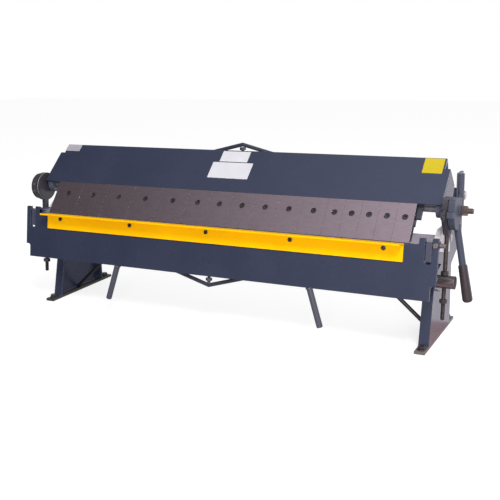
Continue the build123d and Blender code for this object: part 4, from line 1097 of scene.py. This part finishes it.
# Weld beads under the paint, on both sides
weld_runs = [
    ((629.0, -124.6, 8.4), (657.0, -124.6, 8.4), 3.2),
    ((629.0, 113.6, 8.4), (657.0, 113.6, 8.4), 3.2),
    ((658.4, -49.6, 229.0), (658.4, -49.6, 152.0), 3.0),
    ((658.4, 190.6, 346.0), (658.4, 190.6, 444.0), 2.6),
    ((658.4, 181.4, 346.0), (658.4, 181.4, 444.0), 2.6),
    ((649.6, -104.0, 8.4), (649.6, 104.0, 8.4), 2.8),
]
bm = bmesh.new()
for side in (-1, 1):
    for start, end, radius in weld_runs:
        bead(bm, (side * start[0], *start[1:]), (side * end[0], *end[1:]), radius)
piece("frame_welds", bm, "blue_paint", "frame")

# Camera at the photograph's viewpoint
PHOTO_WIDTH, FOCAL_PIXELS, SENSOR = 500, 818.37, 36.0
CAMERA_PLACE = (1.19718, -2.23422, 0.83941)
azimuth, elevation, roll = math.radians(27.222), math.radians(14.232), math.radians(-1.639)
level_out = math.cos(elevation)
back_x, back_y = math.sin(azimuth) * level_out, -math.cos(azimuth) * level_out
back = Vector((back_x, back_y, math.sin(elevation)))
right = Vector((math.cos(azimuth), math.sin(azimuth), 0))
up = back.cross(right)
view_right = math.cos(roll) * right + math.sin(roll) * up
view_up = -math.sin(roll) * right + math.cos(roll) * up
camera_data = bpy.data.cameras.new("camera")
camera_data.sensor_width = SENSOR
camera_data.lens = FOCAL_PIXELS / PHOTO_WIDTH * SENSOR
camera = bpy.data.objects.new("camera", camera_data)
camera.matrix_world = place(CAMERA_PLACE, view_right, view_up, back)
scene.collection.objects.link(camera)
scene.camera = camera

# Light: a high key and a low broad fill at the front right, a weak rim lamp behind on the right
scene.view_settings.view_transform = "Standard"


def lamp(name, spot, target, size, power):
    """Rectangular lamp that looks at a target."""
    data = bpy.data.lights.new(name, "AREA")
    data.shape = "RECTANGLE"
    data.size, data.size_y = size
    data.energy = power
    thing = bpy.data.objects.new(name, data)
    thing.location = spot
    aim = Vector(target) - Vector(spot)
    thing.rotation_euler = aim.to_track_quat("-Z", "Y").to_euler()
    thing.visible_camera = False
    scene.collection.objects.link(thing)


lamp("key", (1.8, -2.4, 3.0), (0.1, 0, 0.3), (1.0, 1.0), 92)
lamp("fill", (2.0, -3.6, 1.05), (0.0, 0, 0.25), (1.8, 0.5), 88)
lamp("rim", (2.1, 1.7, 0.7), (0.5, 0, 0.3), (1.6, 1.2), 20)

# Surround: white to the camera and even on matt surfaces; in reflections it is darker to the
# left and low down
world = bpy.data.worlds.new("world")
scene.world = world
sky = Tree(world)
WHITE = (1, 1, 1)
EVEN_LIGHT = 0.50


def add_levels(a, b):
    return sky.math("ADD", a, b, use_clamp=True)


def sky_fade(name, low, high, to_low, to_high):
    """Level that changes smoothly along one axis of the direction of a ray."""
    value = sky.axis(direction, name)
    return sky.remap(value, low, high, to_low, to_high, interpolation_type="SMOOTHSTEP")


rays = sky.new("ShaderNodeLightPath").outputs
direction = sky.new("ShaderNodeTexCoord").outputs["Generated"]
mirror_rays = add_levels(rays["Is Glossy Ray"], rays["Is Transmission Ray"])
seen = add_levels(mirror_rays, rays["Is Camera Ray"])
from_right = sky_fade("X", -0.68, -0.10, 0.04, 1.0)
from_far_left = sky_fade("X", -0.76, -0.88, 0.0, 0.6)
from_above = sky_fade("Z", 0.0, 0.40, 0.42, 1.0)
from_behind = sky_fade("Y", 0.45, 0.85, 0.0, 1.0)
level = sky.math("MULTIPLY", add_levels(from_right, from_far_left), from_above)
level = add_levels(add_levels(level, from_behind), rays["Is Camera Ray"])
even = sky.new("ShaderNodeBackground", {"Color": WHITE, "Strength": EVEN_LIGHT})
shaped = sky.new("ShaderNodeBackground", {"Color": WHITE, "Strength": level})
blend = sky.new("ShaderNodeMixShader", {0: seen, 1: even.outputs[0], 2: shaped.outputs[0]})
sky.new("ShaderNodeOutputWorld", {0: blend.outputs[0]})

# Floor: white to the camera, and it keeps the shadow. In reflections it is dark at the front,
# bright behind the right leg, brown beside that leg, and has a bright card far in front.
FLOOR_HALF, FLOOR_LEVEL, FLOOR_GLOW = 9, -0.0005, 0.74
CARD_LEFT, RIGHT_START, BROWN_FRONT, BROWN_BACK = -0.3, 0.3, -0.4, 0.12
corners = [(-1, -1), (1, -1), (1, 1), (-1, 1)]
floor_mesh = bpy.data.meshes.new("floor")
floor_corners = [(FLOOR_HALF * x, FLOOR_HALF * y, 0) for x, y in corners]
floor_mesh.from_pydata(floor_corners, [], [(0, 1, 2, 3)])
floor = bpy.data.objects.new("floor", floor_mesh)
floor.location.z = FLOOR_LEVEL
scene.collection.objects.link(floor)
s = Surface("floor")
rays = s.new("ShaderNodeLightPath").outputs
in_mirror = s.math("MAXIMUM", rays["Is Glossy Ray"], rays["Is Transmission Ray"])
shown = s.math("MULTIPLY", rays["Is Camera Ray"], FLOOR_GLOW)
depth = s.axis(s.coords(), "Y")
station = s.axis(s.coords(), "X")
on_right = s.math("GREATER_THAN", station, RIGHT_START)
behind = s.math("MULTIPLY", s.remap(depth, 0.115, 0.13, 0.0, 1.0), on_right)
behind = s.math("MULTIPLY", behind, s.remap(depth, 0.9, 1.4, 1.05, 0.80))
in_front = s.remap(station, -4.5, -0.5, 0.02, 0.26)
card_wide = s.math("GREATER_THAN", station, CARD_LEFT)
card = s.math("MULTIPLY", s.remap(depth, -1.2, -1.6, 0.0, 0.9), card_wide)
glow = s.math("MAXIMUM", s.math("MAXIMUM", behind, in_front), card)
glow = s.math("ADD", shown, s.math("MULTIPLY", in_mirror, glow))
near = s.math("LESS_THAN", depth, BROWN_BACK)
near = s.math("MULTIPLY", near, s.math("GREATER_THAN", depth, BROWN_FRONT))
beside = s.math("MULTIPLY", near, on_right)
mirror_colour = s.mix(beside, (0.12, 0.12, 0.12), (0.58, 0.31, 0.29))
floor_inputs = {
    "Roughness": 1.0,
    "Specular IOR Level": 0.0,
    "Base Color": s.mix(in_mirror, (0.45, 0.45, 0.45), mirror_colour),
    "Emission Color": s.mix(in_mirror, (1.0, 1.0, 1.0), (0.97, 0.91, 1.0)),
    "Emission Strength": glow,
}
s.finish(floor_inputs)
floor_mesh.materials.append(s.material)
